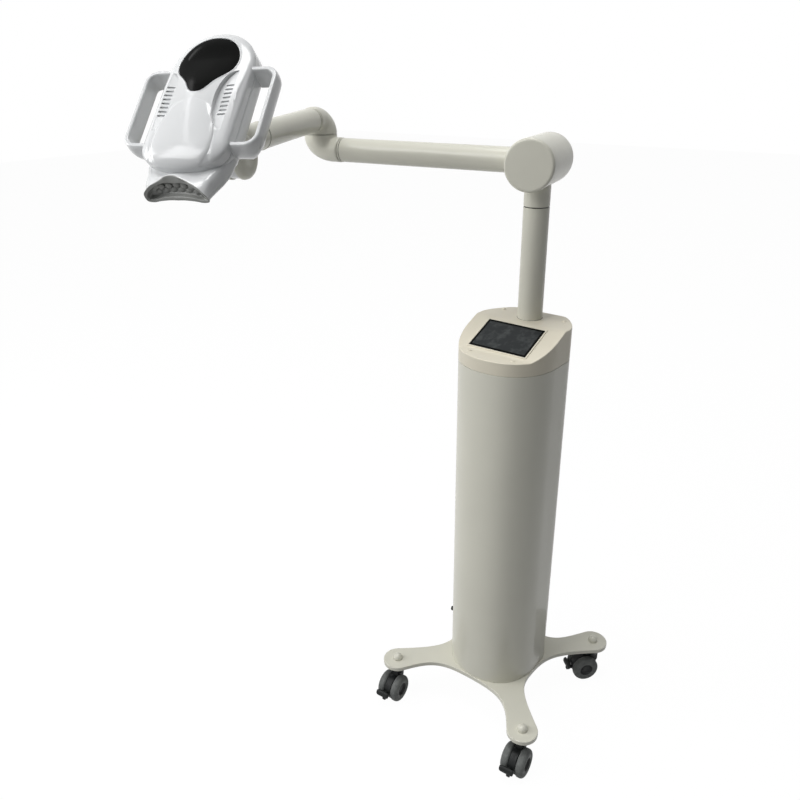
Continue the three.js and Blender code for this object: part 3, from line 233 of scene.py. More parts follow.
def surface(
    name, colour, roughness, tones, tone_noise, gloss, gloss_noise, grain, grain_noise,
    edges=TONE_EDGES, metallic=0.0, coat=0.0, coat_roughness=0.1, specular=0.5,
):
    """A material whose colour, roughness and relief each follow a noise.

    tones and gloss are the ends of the colour and the roughness, and grain is the relief's strength and depth
    in metres. A noise is its scale and detail, then its roughness and a stretch where these are given.
    """
    look = bpy.data.materials.new(name)
    look.use_nodes = True
    nodes, links = look.node_tree.nodes, look.node_tree.links
    shader = nodes["Principled BSDF"]

    def noise(scale, detail, rough=0.5, stretch=None):
        place = nodes.new("ShaderNodeTexCoord").outputs["Object"]
        texture = nodes.new("ShaderNodeTexNoise")
        for socket, value in (("Scale", scale), ("Detail", detail), ("Roughness", rough)):
            texture.inputs[socket].default_value = value
        if stretch:
            mapping = nodes.new("ShaderNodeMapping")
            mapping.inputs["Scale"].default_value = stretch
            links.new(place, mapping.inputs["Vector"])
            place = mapping.outputs["Vector"]
        links.new(place, texture.inputs["Vector"])
        return texture.outputs["Fac"]

    settings = {
        "Base Color": (*colour, 1), "Roughness": roughness, "Metallic": metallic, "Coat Weight": coat,
        "Coat Roughness": coat_roughness, "Specular IOR Level": specular,
    }
    for socket, value in settings.items():
        shader.inputs[socket].default_value = value
    ramp = nodes.new("ShaderNodeValToRGB")
    for element, position, tone in zip(ramp.color_ramp.elements, edges, tones):
        element.position = position
        element.color = (*tone, 1)
    links.new(noise(*tone_noise), ramp.inputs["Fac"])
    links.new(ramp.outputs["Color"], shader.inputs["Base Color"])
    spread = nodes.new("ShaderNodeMapRange")
    for socket, value in zip(("From Min", "From Max", "To Min", "To Max"), (*GLOSS_EDGES, *gloss)):
        spread.inputs[socket].default_value = value
    links.new(noise(*gloss_noise), spread.inputs["Value"])
    links.new(spread.outputs["Result"], shader.inputs["Roughness"])
    relief = nodes.new("ShaderNodeBump")
    relief.inputs["Strength"].default_value, relief.inputs["Distance"].default_value = grain
    links.new(noise(*grain_noise), relief.inputs["Height"])
    links.new(relief.outputs["Normal"], shader.inputs["Normal"])
    return look


cream = surface(
    "cream_paint", (0.675, 0.665, 0.575), 0.36, ((0.66, 0.65, 0.562), (0.69, 0.68, 0.588)), (6, 3),
    (0.36, 0.46), (90, 4), (0.12, 0.0004), (900, 2), coat=0.3, coat_roughness=0.08, specular=0.35,
)
cream_cap = surface(
    "cream_plastic", (0.72, 0.675, 0.55), 0.42, ((0.70, 0.655, 0.535), (0.735, 0.69, 0.565)), (9, 3),
    (0.42, 0.52), (140, 4), (0.16, 0.0002), (2200, 2), coat=0.1, coat_roughness=0.25,
)
white = surface(
    "white_gloss", (0.675, 0.685, 0.69), 0.24, ((0.665, 0.675, 0.68), (0.69, 0.70, 0.70)), (3, 1),
    (0.21, 0.27), (60, 4), (0.03, 0.0004), (260, 1), coat=0.5, coat_roughness=0.12, specular=0.35,
)
black_glass = surface(
    "black_gloss", (0.004, 0.0045, 0.004), 0.08, ((0.002, 0.0023, 0.002), (0.0035, 0.0038, 0.0035)), (30, 2),
    (0.05, 0.14), (25, 4), (0.02, 0.0005), (40, 1), specular=0.03,
)
# The display's own dark grey, with lighter blotches painted on as reflections in its glass.
display_with_reflection = surface(
    "screen_glass", (0.02, 0.023, 0.026), 0.16, ((0.024, 0.027, 0.028), (0.06, 0.066, 0.066)), (55, 2, 0.6),
    (0.12, 0.3), (60, 4), (0.02, 0.0004), (30, 1), edges=(0.45, 0.7), specular=0.12,
)
black = surface(
    "black_plastic", (0.008, 0.009, 0.009), 0.5, ((0.006, 0.007, 0.007), (0.014, 0.016, 0.016)), (50, 4),
    (0.4, 0.6), (120, 4), (0.25, 0.0003), (1500, 2), edges=(0.4, 0.75), specular=0.25,
)
grey = surface(
    "grey_plastic", (0.25, 0.255, 0.24), 0.42, ((0.235, 0.24, 0.228), (0.265, 0.27, 0.255)), (40, 3),
    (0.36, 0.5), (110, 4), (0.15, 0.0003), (1400, 2), coat=0.15, coat_roughness=0.2,
)
tyre = surface(
    "grey_tyre", (0.12, 0.127, 0.122), 0.7, ((0.10, 0.106, 0.103), (0.15, 0.157, 0.15)), (70, 5, 0.65),
    (0.6, 0.85), (160, 4), (0.35, 0.0004), (1100, 3), edges=(0.35, 0.75),
)
steel = surface(
    "steel", (0.45, 0.45, 0.44), 0.3, ((0.40, 0.40, 0.39), (0.52, 0.52, 0.51)), (90, 3),
    (0.22, 0.42), (300, 4, 0.5, (1, 1, 0.1)), (0.1, 0.0002), (900, 2), metallic=1.0,
)
aluminium = surface(
    "aluminium", (0.6, 0.61, 0.62), 0.45, ((0.55, 0.56, 0.57), (0.64, 0.65, 0.66)), (60, 3),
    (0.35, 0.55), (200, 4), (0.15, 0.0003), (1200, 2), metallic=1.0,
)

# CAD nodes that show as they are, most of them inside the column and the head
NODE_LOOKS = {
    "fan_rotor": black, "light_board": aluminium, "mast_flange": steel, "power_button": black,
    "power_inlet": black, "power_supply": aluminium,
}
for name, look in NODE_LOOKS.items():
    shown_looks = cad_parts[name].data.materials
    shown_looks.clear()
    shown_looks.append(look)


def cream_piece(name, body, matrix, *meshes, replaces=(), sharp=40.0, flat_first=False):
    piece(name, body, "cream_paint", cream, placed(matrix, *meshes), sharp, replaces, flat_first)


# Base plate

PLATE_THICKNESS = 10
PLATE_ROUND = 1.5
CASTER_REACH = 162.5
LEG_END_RADIUS = 31.8
FRONT_LEG_END = (211, 410)
BACK_LEG_END = (311, 508.5)
FRONT_WAIST = (0, -105.4)
SIDE_WAIST = (99, -12)
BACK_WAIST = (0, 104.8)
WAIST_HUG = 0.85
BACK_WAIST_HUG = 0.98


def flank(centre, angle, turn, waist, axis, hug):
    """Edge of a leg from the point at an angle on its round end to the waist beside it."""
    start, onward = math.radians(angle), math.radians(angle + turn)
    tangent = Vector(centre) + Vector((math.cos(start), math.sin(start))) * LEG_END_RADIUS
    direction = Vector((math.cos(onward), math.sin(onward)))
    meet = tangent + direction * ((waist[axis] - tangent[axis]) / direction[axis])
    return bezier(tangent, tangent.lerp(meet, hug), Vector(waist).lerp(meet, hug), waist, 28)


def plate_outline():
    """Four legs with round ends that narrow a little before they widen into the plate."""
    near, far = (CASTER_REACH, -CASTER_REACH), (CASTER_REACH, CASTER_REACH)
    return mirrored_loop([
        *flank(near, FRONT_LEG_END[0], -90, FRONT_WAIST, 1, WAIST_HUG)[::-1],
        *arc(LEG_END_RADIUS, *near, *FRONT_LEG_END, 20)[1:-1],
        *flank(near, FRONT_LEG_END[1], 90, SIDE_WAIST, 0, WAIST_HUG),
        *flank(far, BACK_LEG_END[0], -90, SIDE_WAIST, 0, WAIST_HUG)[-2::-1],
        *arc(LEG_END_RADIUS, *far, *BACK_LEG_END, 20)[1:-1],
        *flank(far, BACK_LEG_END[1], 90, BACK_WAIST, 1, BACK_WAIST_HUG),
    ])


def rounded_slab(outline, bottom, top, radius):
    edge = [(radius * (1 - s), radius * (1 - c)) for c, s in quarter(4)]
    levels = [(inset, bottom + rise) for inset, rise in edge]
    levels += [(inset, top - rise) for inset, rise in reversed(edge)]
    return skin([at_height(inset_loop(outline, inset), height) for inset, height in levels], True, True)


cream_piece(
    "plate", "stand", IDENTITY, rounded_slab(plate_outline(), 0, PLATE_THICKNESS, PLATE_ROUND),
    replaces=["base_plate"], flat_first=True, sharp=50,
)


# Column and top cap

COLUMN_HALF = 97
COLUMN_FRONT = -103
COLUMN_BACK = 104
COLUMN_BOTTOM = 10.3
COLUMN_TOP = 733
COLUMN_CHAMFER = 0.6
WALL = 3
SIDE_START, SIDE_END = -5, 40
BACK_FLAT_HALF = 50
FRONT_CURVE, FRONT_SIDE, BACK_CURVE = 0.7, 0.5, 0.3
INLET_HALF = 13.8
INLET_LOW, INLET_HIGH = 44.7, 65.3
CAP_BOTTOM = COLUMN_TOP + CLEARANCE
CAP_FRONT_TOP = 759
CAP_BACK_TOP = 797
CAP_CHAMFER = 0.7
CAP_EDGE = 1.8
CAP_EDGE_STEPS = 7
FRONT_CREASE = -67.5
BACK_CREASE = 21.6
CREASE_ROUND = 1.6


def column_half(inset=0.0):
    """Right half of the column's plan outline, from the middle of the front to the middle of the back."""
    half, front, back = COLUMN_HALF - inset, COLUMN_FRONT + inset, COLUMN_BACK - inset
    return [
        *bezier(
            (0, front), (half * FRONT_CURVE, front), (half, mix(SIDE_START, front, FRONT_SIDE)),
            (half, SIDE_START), 36,
        ),
        *[(half, mix(SIDE_START, SIDE_END, k / 5)) for k in range(1, 5)],
        *bezier(
            (half, SIDE_END), (half, mix(SIDE_END, back, BACK_CURVE)),
            (mix(BACK_FLAT_HALF, half, BACK_CURVE), back), (BACK_FLAT_HALF, back), 16,
        ),
        (INLET_HALF, back), (0, back),
    ]


def column_outline(inset=0.0):
    return mirrored_loop(column_half(inset))


def column_wall():
    """The column's outside with a small chamfer at its top and the inlet's opening in its back."""
    levels = [(0, z) for z in (COLUMN_BOTTOM, INLET_LOW, INLET_HIGH, 250, 500, COLUMN_TOP - COLUMN_CHAMFER)]
    levels.append((COLUMN_CHAMFER, COLUMN_TOP))

    def in_opening(p):
        return abs(p.x) < INLET_HALF and p.y > COLUMN_BACK - WALL and INLET_LOW < p.z < INLET_HIGH

    return trimmed(skin([at_height(column_outline(inset), height) for inset, height in levels]), in_opening)


column_ledge = skin([at_height(column_outline(inset), COLUMN_TOP) for inset in (COLUMN_CHAMFER, WALL)])
cream_piece("column", "stand", IDENTITY, column_wall(), column_ledge, replaces=["column_shell"])


def cap_height(y):
    """Height of the cap's top: a front lip, a sloping panel and a back flat with slightly rounded creases."""
    grade = (CAP_BACK_TOP - CAP_FRONT_TOP) / (BACK_CREASE - FRONT_CREASE)

    def ramp(t):
        return t if t > CREASE_ROUND else max(t + CREASE_ROUND, 0) ** 2 / (4 * CREASE_ROUND)

    return CAP_FRONT_TOP + grade * (ramp(y - FRONT_CREASE) - ramp(y - BACK_CREASE))


def cap_body():
    """The cap's skin, its top filled by strips across."""
    loops = [
        at_height(column_outline(CAP_CHAMFER), CAP_BOTTOM),
        at_height(column_outline(), CAP_BOTTOM + CAP_CHAMFER),
    ]
    for c, s in quarter(CAP_EDGE_STEPS):
        inset, drop = CAP_EDGE * (1 - c), CAP_EDGE * (1 - s)
        loops.append([(x, y, cap_height(y) - drop) for x, y in column_outline(inset)])
    vertices, faces = skin(loops)
    count = len(loops[0])
    start = (len(loops) - 1) * count
    for k in range(len(column_half()) - 1):
        low_left, high_left = (count - k) % count, (count - k - 1) % count
        corners = list(dict.fromkeys([start + k, start + k + 1, start + high_left, start + low_left]))
        if len(corners) > 2:
            faces.append(corners)
    return vertices, faces


piece(
    "cap", "stand", "cream_plastic", cream_cap, placed(IDENTITY, cap_body()),
    replaces=["top_cap", "cap_frame"], flat_first=True, sharp=60,
)


# Screen and cap screws

SCREEN = (121, 78.4)
SCREEN_RIM = (127, 84.4)
RIM_BOTTOM, RIM_TOP = -2, 1.6
RIM_EDGE = 0.6
GLASS_TOP = 1.2
DISPLAY_LIFT = 0.02
slope = math.atan2(CAP_BACK_TOP - CAP_FRONT_TOP, BACK_CREASE - FRONT_CREASE)
on_slope = shift(0, (FRONT_CREASE + BACK_CREASE) / 2, (CAP_FRONT_TOP + CAP_BACK_TOP) / 2)
on_slope = on_slope @ Matrix.Rotation(slope, 4, "X")


def rounded_box_loop(size, shrink, radius, height):
    width, length = size[0] - shrink, size[1] - shrink
    points = []
    for k, (sx, sy) in enumerate([(1, -1), (1, 1), (-1, 1), (-1, -1)]):
        start = 90 * k - 90
        points += arc(radius, sx * (width / 2 - radius), sy * (length / 2 - radius), start, start + 90, 6)
    return at_height(points, height)


def screen_rim():
    """A raised rim with rounded edges between two rounded rectangles."""
    outside = [(0, RIM_BOTTOM), (0, RIM_TOP - RIM_EDGE), (0.6, RIM_TOP - 0.3 * RIM_EDGE), (2, RIM_TOP)]
    loops = [rounded_box_loop(SCREEN_RIM, edges * RIM_EDGE, 2.2, height) for edges, height in outside]
    loops += [rounded_box_loop(SCREEN, -edges * RIM_EDGE, 1.0, height) for edges, height in reversed(outside)]
    return skin(loops)


def screen_slab(size, levels, radius):
    return skin([rounded_box_loop(size, shrink, radius, height) for shrink, height in levels], True, True)


piece("screen_rim", "stand", "cream_plastic", cream_cap, placed(on_slope, screen_rim()), sharp=50)
glass = screen_slab(SCREEN, [(0.6, -1.5), (0.6, GLASS_TOP - 0.3), (1.2, GLASS_TOP)], 0.8)
shown = screen_slab((SCREEN[0] - 9, SCREEN[1] - 10), [(0, GLASS_TOP), (0, GLASS_TOP + DISPLAY_LIFT)], 0.5)
piece(
    "screen", "stand", "black_gloss", [black_glass, display_with_reflection],
    placed(on_slope, glass) + placed(on_slope, shown, look=1), replaces=["touch_screen"], sharp=30,
)

CAP_SCREWS = {
    "back_left": (-66, 75, CAP_BACK_TOP), "back_right": (66, 75, CAP_BACK_TOP),
    "front_left": (-46, -78, CAP_FRONT_TOP), "front_right": (46, -78, CAP_FRONT_TOP),
}
SCREW_HEAD = [
    (0, 1.5), (1.0, 1.5), (1.15, 1.1), (1.5, 1.75), (2.4, 1.6), (3.3, 1.15), (3.9, 0.55), (4.2, 0.02),
    (4.5, 0.02),
]
for place, spot in CAP_SCREWS.items():
    piece(
        f"screw_{place}", "stand", "steel", cream_cap, placed(shift(*spot), lathe(SCREW_HEAD, 32)),
        replaces=[f"cap_screw_{place}"], sharp=30,
    )


# Mast, bush and post

MAST_Y = 60.3
MAST_RADIUS = 24
MAST_BOTTOM, MAST_TOP = 14, 1007
BUSH_BOTTOM, BUSH_TOP = 1007.2, 1008.4
POST_BOTTOM = 1008.6
SHOULDER_HEIGHT = 1085.5
ARM_TURN = 192.9
ARM_RISE = 1
DRUM_SEAT_RADIUS = 45.6
on_mast = shift(0, MAST_Y, 0)
shoulder_frame = shift(0, MAST_Y, SHOULDER_HEIGHT) @ rotation(ARM_TURN, "Z")
mast_profile = [
    (MAST_RADIUS, MAST_BOTTOM), (MAST_RADIUS, MAST_TOP - 0.8), (MAST_RADIUS - 0.8, MAST_TOP), (21, MAST_TOP),
]
# A thin black ring on the cap round the mast: painted shade for the gap where the mast goes in.
gap_shade_profile = [
    (MAST_RADIUS, CAP_BACK_TOP - 0.4), (MAST_RADIUS, CAP_BACK_TOP + 0.08),
    (MAST_RADIUS + 0.7, CAP_BACK_TOP + 0.08), (MAST_RADIUS + 0.8, CAP_BACK_TOP - 0.4),
]
bush_profile = [(20, BUSH_BOTTOM), (23.1, BUSH_BOTTOM), (23.1, BUSH_TOP), (20, BUSH_TOP)]


def post():
    """The post's skin, whose top follows the drum."""
    bottom = POST_BOTTOM - SHOULDER_HEIGHT
    levels = [(MAST_RADIUS - 2, bottom), (MAST_RADIUS - 0.6, bottom), (MAST_RADIUS, bottom + 0.6)]
    loops = [oval(radius, radius, height, 96) for radius, height in levels]
    loops.append([(x, y, -math.sqrt(DRUM_SEAT_RADIUS ** 2 - x * x)) for x, y, _ in loops[-1]])
    return skin(loops)


cream_piece("mast", "stand", on_mast, lathe(mast_profile), replaces=["mast_tube"], sharp=30)
piece("mast_gap_shade", "stand", "black_plastic", black, placed(on_mast, lathe(gap_shade_profile)), sharp=30)
piece("bush", "stand", "black_plastic", black, placed(on_mast, lathe(bush_profile)), replaces=["swivel_bush"])
cream_piece("post", "shoulder", shoulder_frame, post(), replaces=["shoulder_post"], sharp=30)


# Shoulder drum and arm

DRUM_RADIUS = 45.4
DRUM_HALF = 66.3
DRUM_FILLET = 5
ARM_REACH = 450.4
ARM_RADIUS = 22.6
ARM_START = 30
LOWER_RING = 403.4
TUBE_END_RADIUS = 21.6
BAND_RADIUS = 23.2
arm_frame = shoulder_frame @ rotation(-ARM_RISE, "Y")
drum_half = [
    (0, DRUM_HALF), (DRUM_RADIUS - DRUM_FILLET - 3, DRUM_HALF),
    *arc(DRUM_FILLET, DRUM_RADIUS - DRUM_FILLET, DRUM_HALF - DRUM_FILLET, 90, 0, 8), (DRUM_RADIUS, 30),
]


def both_ends(half):
    """A whole turned profile from the half above its middle."""
    return half + [(radius, -height) for radius, height in reversed(half)]


def ring_band(name, body, matrix, place, ring, slit_shades, node):
    """The thin ring at a tube's end, with black strips in the slits beside it as painted shade, all measured
    from a place along the tube.
    """
    start, end, inner, edge = place + ring[0], place + ring[1], TUBE_END_RADIUS - 1, BAND_RADIUS - 0.4
    band = lathe([
        (inner, start), (edge, start), (BAND_RADIUS, start + 0.5), (BAND_RADIUS, end - 0.5), (edge, end),
        (inner, end),
    ])
    # Black strips at the bottom of the slits: painted shade.
    slit_shade_strips = [lathe([(radius, place + low), (radius, place + high)]) for radius, low, high in slit_shades]
    piece(
        name, body, "black_plastic", [cream, black], placed(matrix, band) + placed(matrix, *slit_shade_strips, look=1),
        replaces=[node],
    )


cream_piece(
    "drum", "arm", arm_frame @ ALONG_Y, lathe(both_ends(drum_half), 128),
    replaces=["shoulder_drum", "drum_cover_front", "drum_cover_back", "shoulder_axle"],
)
arm_profile = [
    (ARM_RADIUS, ARM_START), (ARM_RADIUS, LOWER_RING - 4.9), (TUBE_END_RADIUS, LOWER_RING - 4.3),
]
cream_piece("arm_pipe", "arm", arm_frame @ ALONG_X, lathe(arm_profile), replaces=["arm_tube"])
ring_band(
    "arm_band", "arm", arm_frame @ ALONG_X, LOWER_RING, (-3.8, -0.9),
    [(22.2, -1.1, -0.2), (22.0, -4.6, -3.4)], "arm_ring",
)


# Elbows

ELBOW_RADIUS = 32.7
ELBOW_POWER = 2.2
ELBOW_TUBE = 23.6
ELBOW_STEPS = 20
LOWER_FACE, UPPER_FACE = 1121.0, 1122.8
LOWER_RING_DISTANCE, UPPER_RING_DISTANCE = 47, 43.5
FOREARM_HEIGHT = 1151.6
FOREARM_TURN = 22
FOREARM_FALL = 2.61
SEAM = [(12, 0.3), (31.2, 0.3), (31.2, 1.5), (12, 1.5)]


def elbow_half(tube_height, ring_distance, fall):
    """Skin of an elbow half: its joint face lies at zero height, the tube leaves towards +X above it."""
    loops, fall = [], math.radians(fall)

    def loop_between(inner, outer, half_width):
        middle, half = (inner + outer) / 2, (outer - inner) / 2
        loops.append([
            (middle.x + half.x * c, half_width * s, middle.y + half.y * c) for c, s, _ in oval(1, 1, 0, 72)
        ])

    across = Vector((math.sin(fall), math.cos(fall)))
    away = Vector((across.y, -across.x))
    end = Vector((ring_distance, tube_height - ring_distance * math.tan(fall)))
    for back, shrink in [(0, 1.6), (0, 0.8), (0.8, 0), (5, 0)]:
        middle, radius = end - away * back, ELBOW_TUBE - shrink
        loop_between(middle - across * radius, middle + across * radius, radius)
    inner_top = tube_height - ELBOW_RADIUS * math.tan(fall) - ELBOW_TUBE
    outer_top, power = inner_top + 2 * ELBOW_TUBE, 2 / ELBOW_POWER
    for c, s in quarter(ELBOW_STEPS):
        outer = Vector((ELBOW_RADIUS * (1 - 2 * s ** power), outer_top * c ** power))
        loop_between(Vector((ELBOW_RADIUS, inner_top * c)), outer, mix(ELBOW_TUBE, ELBOW_RADIUS, s * s))
    return skin(loops)


elbow_x = ARM_REACH * math.cos(math.radians(ARM_TURN))
elbow_y = MAST_Y + ARM_REACH * math.sin(math.radians(ARM_TURN))
arm_at_elbow = SHOULDER_HEIGHT + ARM_REACH * math.tan(math.radians(ARM_RISE))
lower_frame = shift(elbow_x, elbow_y, LOWER_FACE) @ rotation(ARM_TURN, "Z")
upper_frame = shift(elbow_x, elbow_y, UPPER_FACE) @ rotation(FOREARM_TURN - 90, "Z")
upside_down = rotation(180, "Z") @ rotation(180, "X")
cream_piece(
    "elbow_lower", "arm", lower_frame @ upside_down,
    elbow_half(LOWER_FACE - arm_at_elbow, LOWER_RING_DISTANCE, -ARM_RISE),
    replaces=["lower_elbow"], sharp=50,
)
piece(
    "elbow_seam", "arm", "black_plastic", cream, placed(lower_frame, lathe(SEAM)),
    replaces=["elbow_spigot"],
)
cream_piece(
    "elbow_upper", "forearm", upper_frame,
    elbow_half(FOREARM_HEIGHT - UPPER_FACE, UPPER_RING_DISTANCE, FOREARM_FALL),
    replaces=["upper_elbow"], sharp=50,
)


# Forearm and wrist

FOREARM_START = 43.55
FOREARM_RADIUS = 22.5
WRIST_RING = 270.5
HEAD_PIVOT = Vector((-307.9, -365.4, 1114.6))
HEAD_TURN, HEAD_PITCH, HEAD_LEAN = 22, 46.4, -2.3
KNUCKLE_RADIUS = 35
KNUCKLE_HALF = 22.5
KNUCKLE_FILLET = 11
SLOT_HALF = 9.3
SLOT_RADIUS = 37
SLEEVE_SETBACK = 30
forearm_frame = (
    shift(elbow_x, elbow_y, FOREARM_HEIGHT) @ rotation(FOREARM_TURN, "Z") @ rotation(FOREARM_FALL, "X")
    @ rotation(90, "X")
)
head_frame = (
    shift(*HEAD_PIVOT) @ rotation(HEAD_TURN, "Z") @ rotation(HEAD_PITCH, "X") @ rotation(HEAD_LEAN, "Y")
)
sleeve_end = (forearm_frame.inverted() @ HEAD_PIVOT).z - SLEEVE_SETBACK
ring_band(
    "forearm_band", "forearm", forearm_frame, FOREARM_START, (0.8, 3.6),
    [(22.2, -0.4, 1.1), (22.0, 3.2, 4.7)], "forearm_ring",
)
forearm_profile = [
    (TUBE_END_RADIUS, FOREARM_START + 4.4), (FOREARM_RADIUS, FOREARM_START + 5),
    (FOREARM_RADIUS, WRIST_RING - 4.6), (FOREARM_RADIUS - 0.7, WRIST_RING - 4),
]
cream_piece("forearm_pipe", "forearm", forearm_frame, lathe(forearm_profile), replaces=["forearm_tube"])
ring_band(
    "wrist_band", "forearm", forearm_frame, WRIST_RING, (-3.4, -1.0),
    [(22.0, -4.4, -3.2), (21.8, -1.2, 0.5)], "wrist_ring",
)
cheek = [
    (0, SLOT_HALF), (KNUCKLE_RADIUS - 0.8, SLOT_HALF), (KNUCKLE_RADIUS, SLOT_HALF + 0.8),
    *arc(KNUCKLE_FILLET, KNUCKLE_RADIUS - KNUCKLE_FILLET, KNUCKLE_HALF - KNUCKLE_FILLET, 0, 90, 10),
    (8, KNUCKLE_HALF), (7, KNUCKLE_HALF - 0.6), (0, KNUCKLE_HALF - 0.6),
]
other_cheek = [(radius, -height) for radius, height in reversed(cheek)]
cream_piece(
    "knuckle", "wrist", head_frame @ ALONG_X, lathe(cheek, 72), lathe(other_cheek, 72),
    replaces=["wrist_knuckle", "wrist_axle"],
)


def sleeve():
    """The wrist's round sleeve, without its faces inside the head's disc-shaped slot."""
    profile = [
        (FOREARM_RADIUS - 0.7, WRIST_RING + CLEARANCE), (FOREARM_RADIUS, WRIST_RING + 1),
        *arc(FOREARM_RADIUS, 0, sleeve_end, 0, 90, 12),
    ]
    to_head = head_frame.inverted() @ forearm_frame

    def in_slot(p):
        x, y, z = to_head @ p
        return abs(x) < SLOT_HALF + 0.2 and math.hypot(y, z) < SLOT_RADIUS

    return trimmed(lathe(profile, 72), in_slot)


cream_piece("sleeve", "wrist", forearm_frame, sleeve())


# Head neck

TONGUE_HALF = 9
WEB_REACH = 14
NECK = [
    (21, 14, 39), (21, 14, 62), (22, 15, 67), (25, 18, 71), (30, 22.5, 73.4), (34, 26, 74.2),
    (34, 26, 77.7),
]
neck_skin = skin([oval(*station, 64) for station in NECK], True, True)
tongue = lathe(both_ends([(0, TONGUE_HALF), (32, TONGUE_HALF), (33, TONGUE_HALF - 1)]), 72)
web_corners = [(sx * TONGUE_HALF, sy * WEB_REACH) for sx, sy in [(-1, -1), (1, -1), (1, 1), (-1, 1)]]
web = skin([at_height(web_corners, height) for height in (0, 40)], True, True)
piece(
    "neck", "head", "white_gloss", white,
    placed(head_frame, neck_skin) + placed(head_frame @ ALONG_X, tongue) + placed(head_frame, web),
    replaces=["head_neck"], sharp=40,
)


# Head outline and crown

HALF_WIDTH = 69
BACK_CENTRE = 62
BACK_REACH = 69
FRONT_START = -70
FRONT_REACH = 42
FRONT_POWER = 2.6
HEAD_TOP = 132.5
EDGE_INSET = 36
EDGE_RISE = 13
EDGE_POWER = 2.2
DOME_RISE = 5.5
DOME_HALF = 58
DOME_CENTRE_Y = -25
DOME_FRONT_REACH, DOME_BACK_REACH = 95, 100
BACK_DROP = 5.5
BACK_DROP_START, BACK_DROP_LENGTH = 5, 90
PARTING = 107
WINDOW_GROWTH = 0.6
PETAL_RISE = 1.7
PETAL_EDGE = 1.3
PETAL_FADE_START, PETAL_FADE_LENGTH = 2, 26
PETAL_MIDDLE = 0.55
PETAL = [
    (0, -4), (14, -8), (27, -15), (37, -31), (44.2, -47), (47.3, -64), (47.5, -83), (44, -97), (36, -108),
    (24, -116.5), (0, -121.5),
]
WINDOW = [
    (0, 7.5), (7, 8.8), (12.4, 12.6), (17.2, 19), (23, 27.7), (30.5, 35.4), (38.5, 42.6), (44.2, 50.4),
    (47.4, 59.7), (48, 69.6), (46, 80.2), (41.3, 91.1), (34, 100.9), (24.5, 108.2), (12.8, 112.8),
    (0, 114.2),
]
petal_loop = mirrored_loop(smooth_line(PETAL))


def head_loop(inset, height, front_reach=FRONT_REACH):
    """The head's outline: a round back, straight sides and a squarer front."""
    half, power = HALF_WIDTH - inset, 2 / FRONT_POWER
    points = []
    for c, s, _ in oval(1, 1, 0, 144):
        if s >= 0:
            points.append((half * c, BACK_CENTRE + (BACK_REACH - inset) * s, height))
        else:
            x = half * math.copysign(abs(c) ** power, c)
            points.append((x, FRONT_START - (front_reach - inset) * abs(s) ** power, height))
    return points


def inset_at(x, y):
    """How far inside the head's outline a point lies, measured by the outline's own inset."""
    power, away, reach = 2, y - BACK_CENTRE, BACK_REACH
    if y < 0:
        power, away, reach = FRONT_POWER, FRONT_START - y, FRONT_REACH
    if away <= 0:
        return HALF_WIDTH - abs(x)
    low, high = 0.0, reach - 0.1
    for _ in range(30):
        middle = (low + high) / 2
        if (abs(x) / (HALF_WIDTH - middle)) ** power + (away / (reach - middle)) ** power > 1:
            high = middle
        else:
            low = middle
    return low


def edge_height(inset):
    if inset >= EDGE_INSET:
        return HEAD_TOP
    share = max(inset, 0) / EDGE_INSET
    return HEAD_TOP - EDGE_RISE + EDGE_RISE * (1 - (1 - share) ** EDGE_POWER) ** (1 / EDGE_POWER)


def inside(loop, x, y):
    found = False
    for k in range(len(loop)):
        x1, y1 = loop[k - 1][:2]
        x2, y2 = loop[k][:2]
        if (y1 > y) != (y2 > y) and x < (x2 - x1) * (y - y1) / (y2 - y1) + x1:
            found = not found
    return found


def distance_to(loop, x, y):
    point = Vector((x, y))
    best = math.inf
    for k in range(len(loop)):
        a, b = Vector(loop[k - 1][:2]), Vector(loop[k][:2])
        span = b - a
        share = clamp((point - a).dot(span) / max(span.length_squared, 1e-9))
        best = min(best, (a + span * share - point).length)
    return best


def smooth_crown(x, y):
    """The head top's height without the raised front panel: a rounded edge and a dome along the middle."""
    across = max(0.0, 1 - (x / DOME_HALF) ** 2) ** 1.5
    reach = DOME_FRONT_REACH if y < DOME_CENTRE_Y else DOME_BACK_REACH
    along = max(0.0, 1 - ((y - DOME_CENTRE_Y) / reach) ** 2)
    drop = BACK_DROP * ease(clamp((y - BACK_DROP_START) / BACK_DROP_LENGTH))
    return edge_height(inset_at(x, y)) + DOME_RISE * across * along - drop


def crown(x, y):
    """The head top's height with the raised front panel, which fades out towards the window."""
    height = smooth_crown(x, y)
    if -125 < y < 8 and abs(x) < 50:
        share = 0.5 * min(distance_to(petal_loop, x, y) / PETAL_EDGE, 1)
        share = 0.5 + share if inside(petal_loop, x, y) else 0.5 - share
        fade = clamp((-y - PETAL_FADE_START) / PETAL_FADE_LENGTH)
        height += PETAL_RISE * fade * (ease(share) - PETAL_MIDDLE)
    return height


def fill(outer, holes, rings, spacing, height):
    """A surface over a plan outline with open holes, its points at the height a function gives."""
    points, edges = [], []
    loops = [outer, *holes, *rings]
    for loop in loops:
        start = len(points)
        points += [Vector(p[:2]) for p in loop]
        edges += [(start + k, start + (k + 1) % len(loop)) for k in range(len(loop))]

    def on_surface(x, y):
        return inside(outer, x, y) and not any(inside(hole, x, y) for hole in holes)

    xs, ys = [p[0] for p in outer], [p[1] for p in outer]
    row, y = 0, min(ys) + spacing
    while y < max(ys):
        x = min(xs) + spacing * (0.5 if row % 2 else 1.0)
        while x < max(xs):
            if on_surface(x, y) and all(distance_to(loop, x, y) > spacing * 0.45 for loop in loops):
                points.append(Vector((x, y)))
            x += spacing
        y += spacing * 0.87
        row += 1
    made, _, faces, *_ = geometry.delaunay_2d_cdt(points, edges, [], 0, 1e-5)
    kept = []
    for face in faces:
        middle = sum((made[k] for k in face), Vector((0, 0))) / len(face)
        if on_surface(middle.x, middle.y):
            kept.append(list(face))
    return [(p.x, p.y, height(p.x, p.y)) for p in made], kept


# Head shells, window and vents

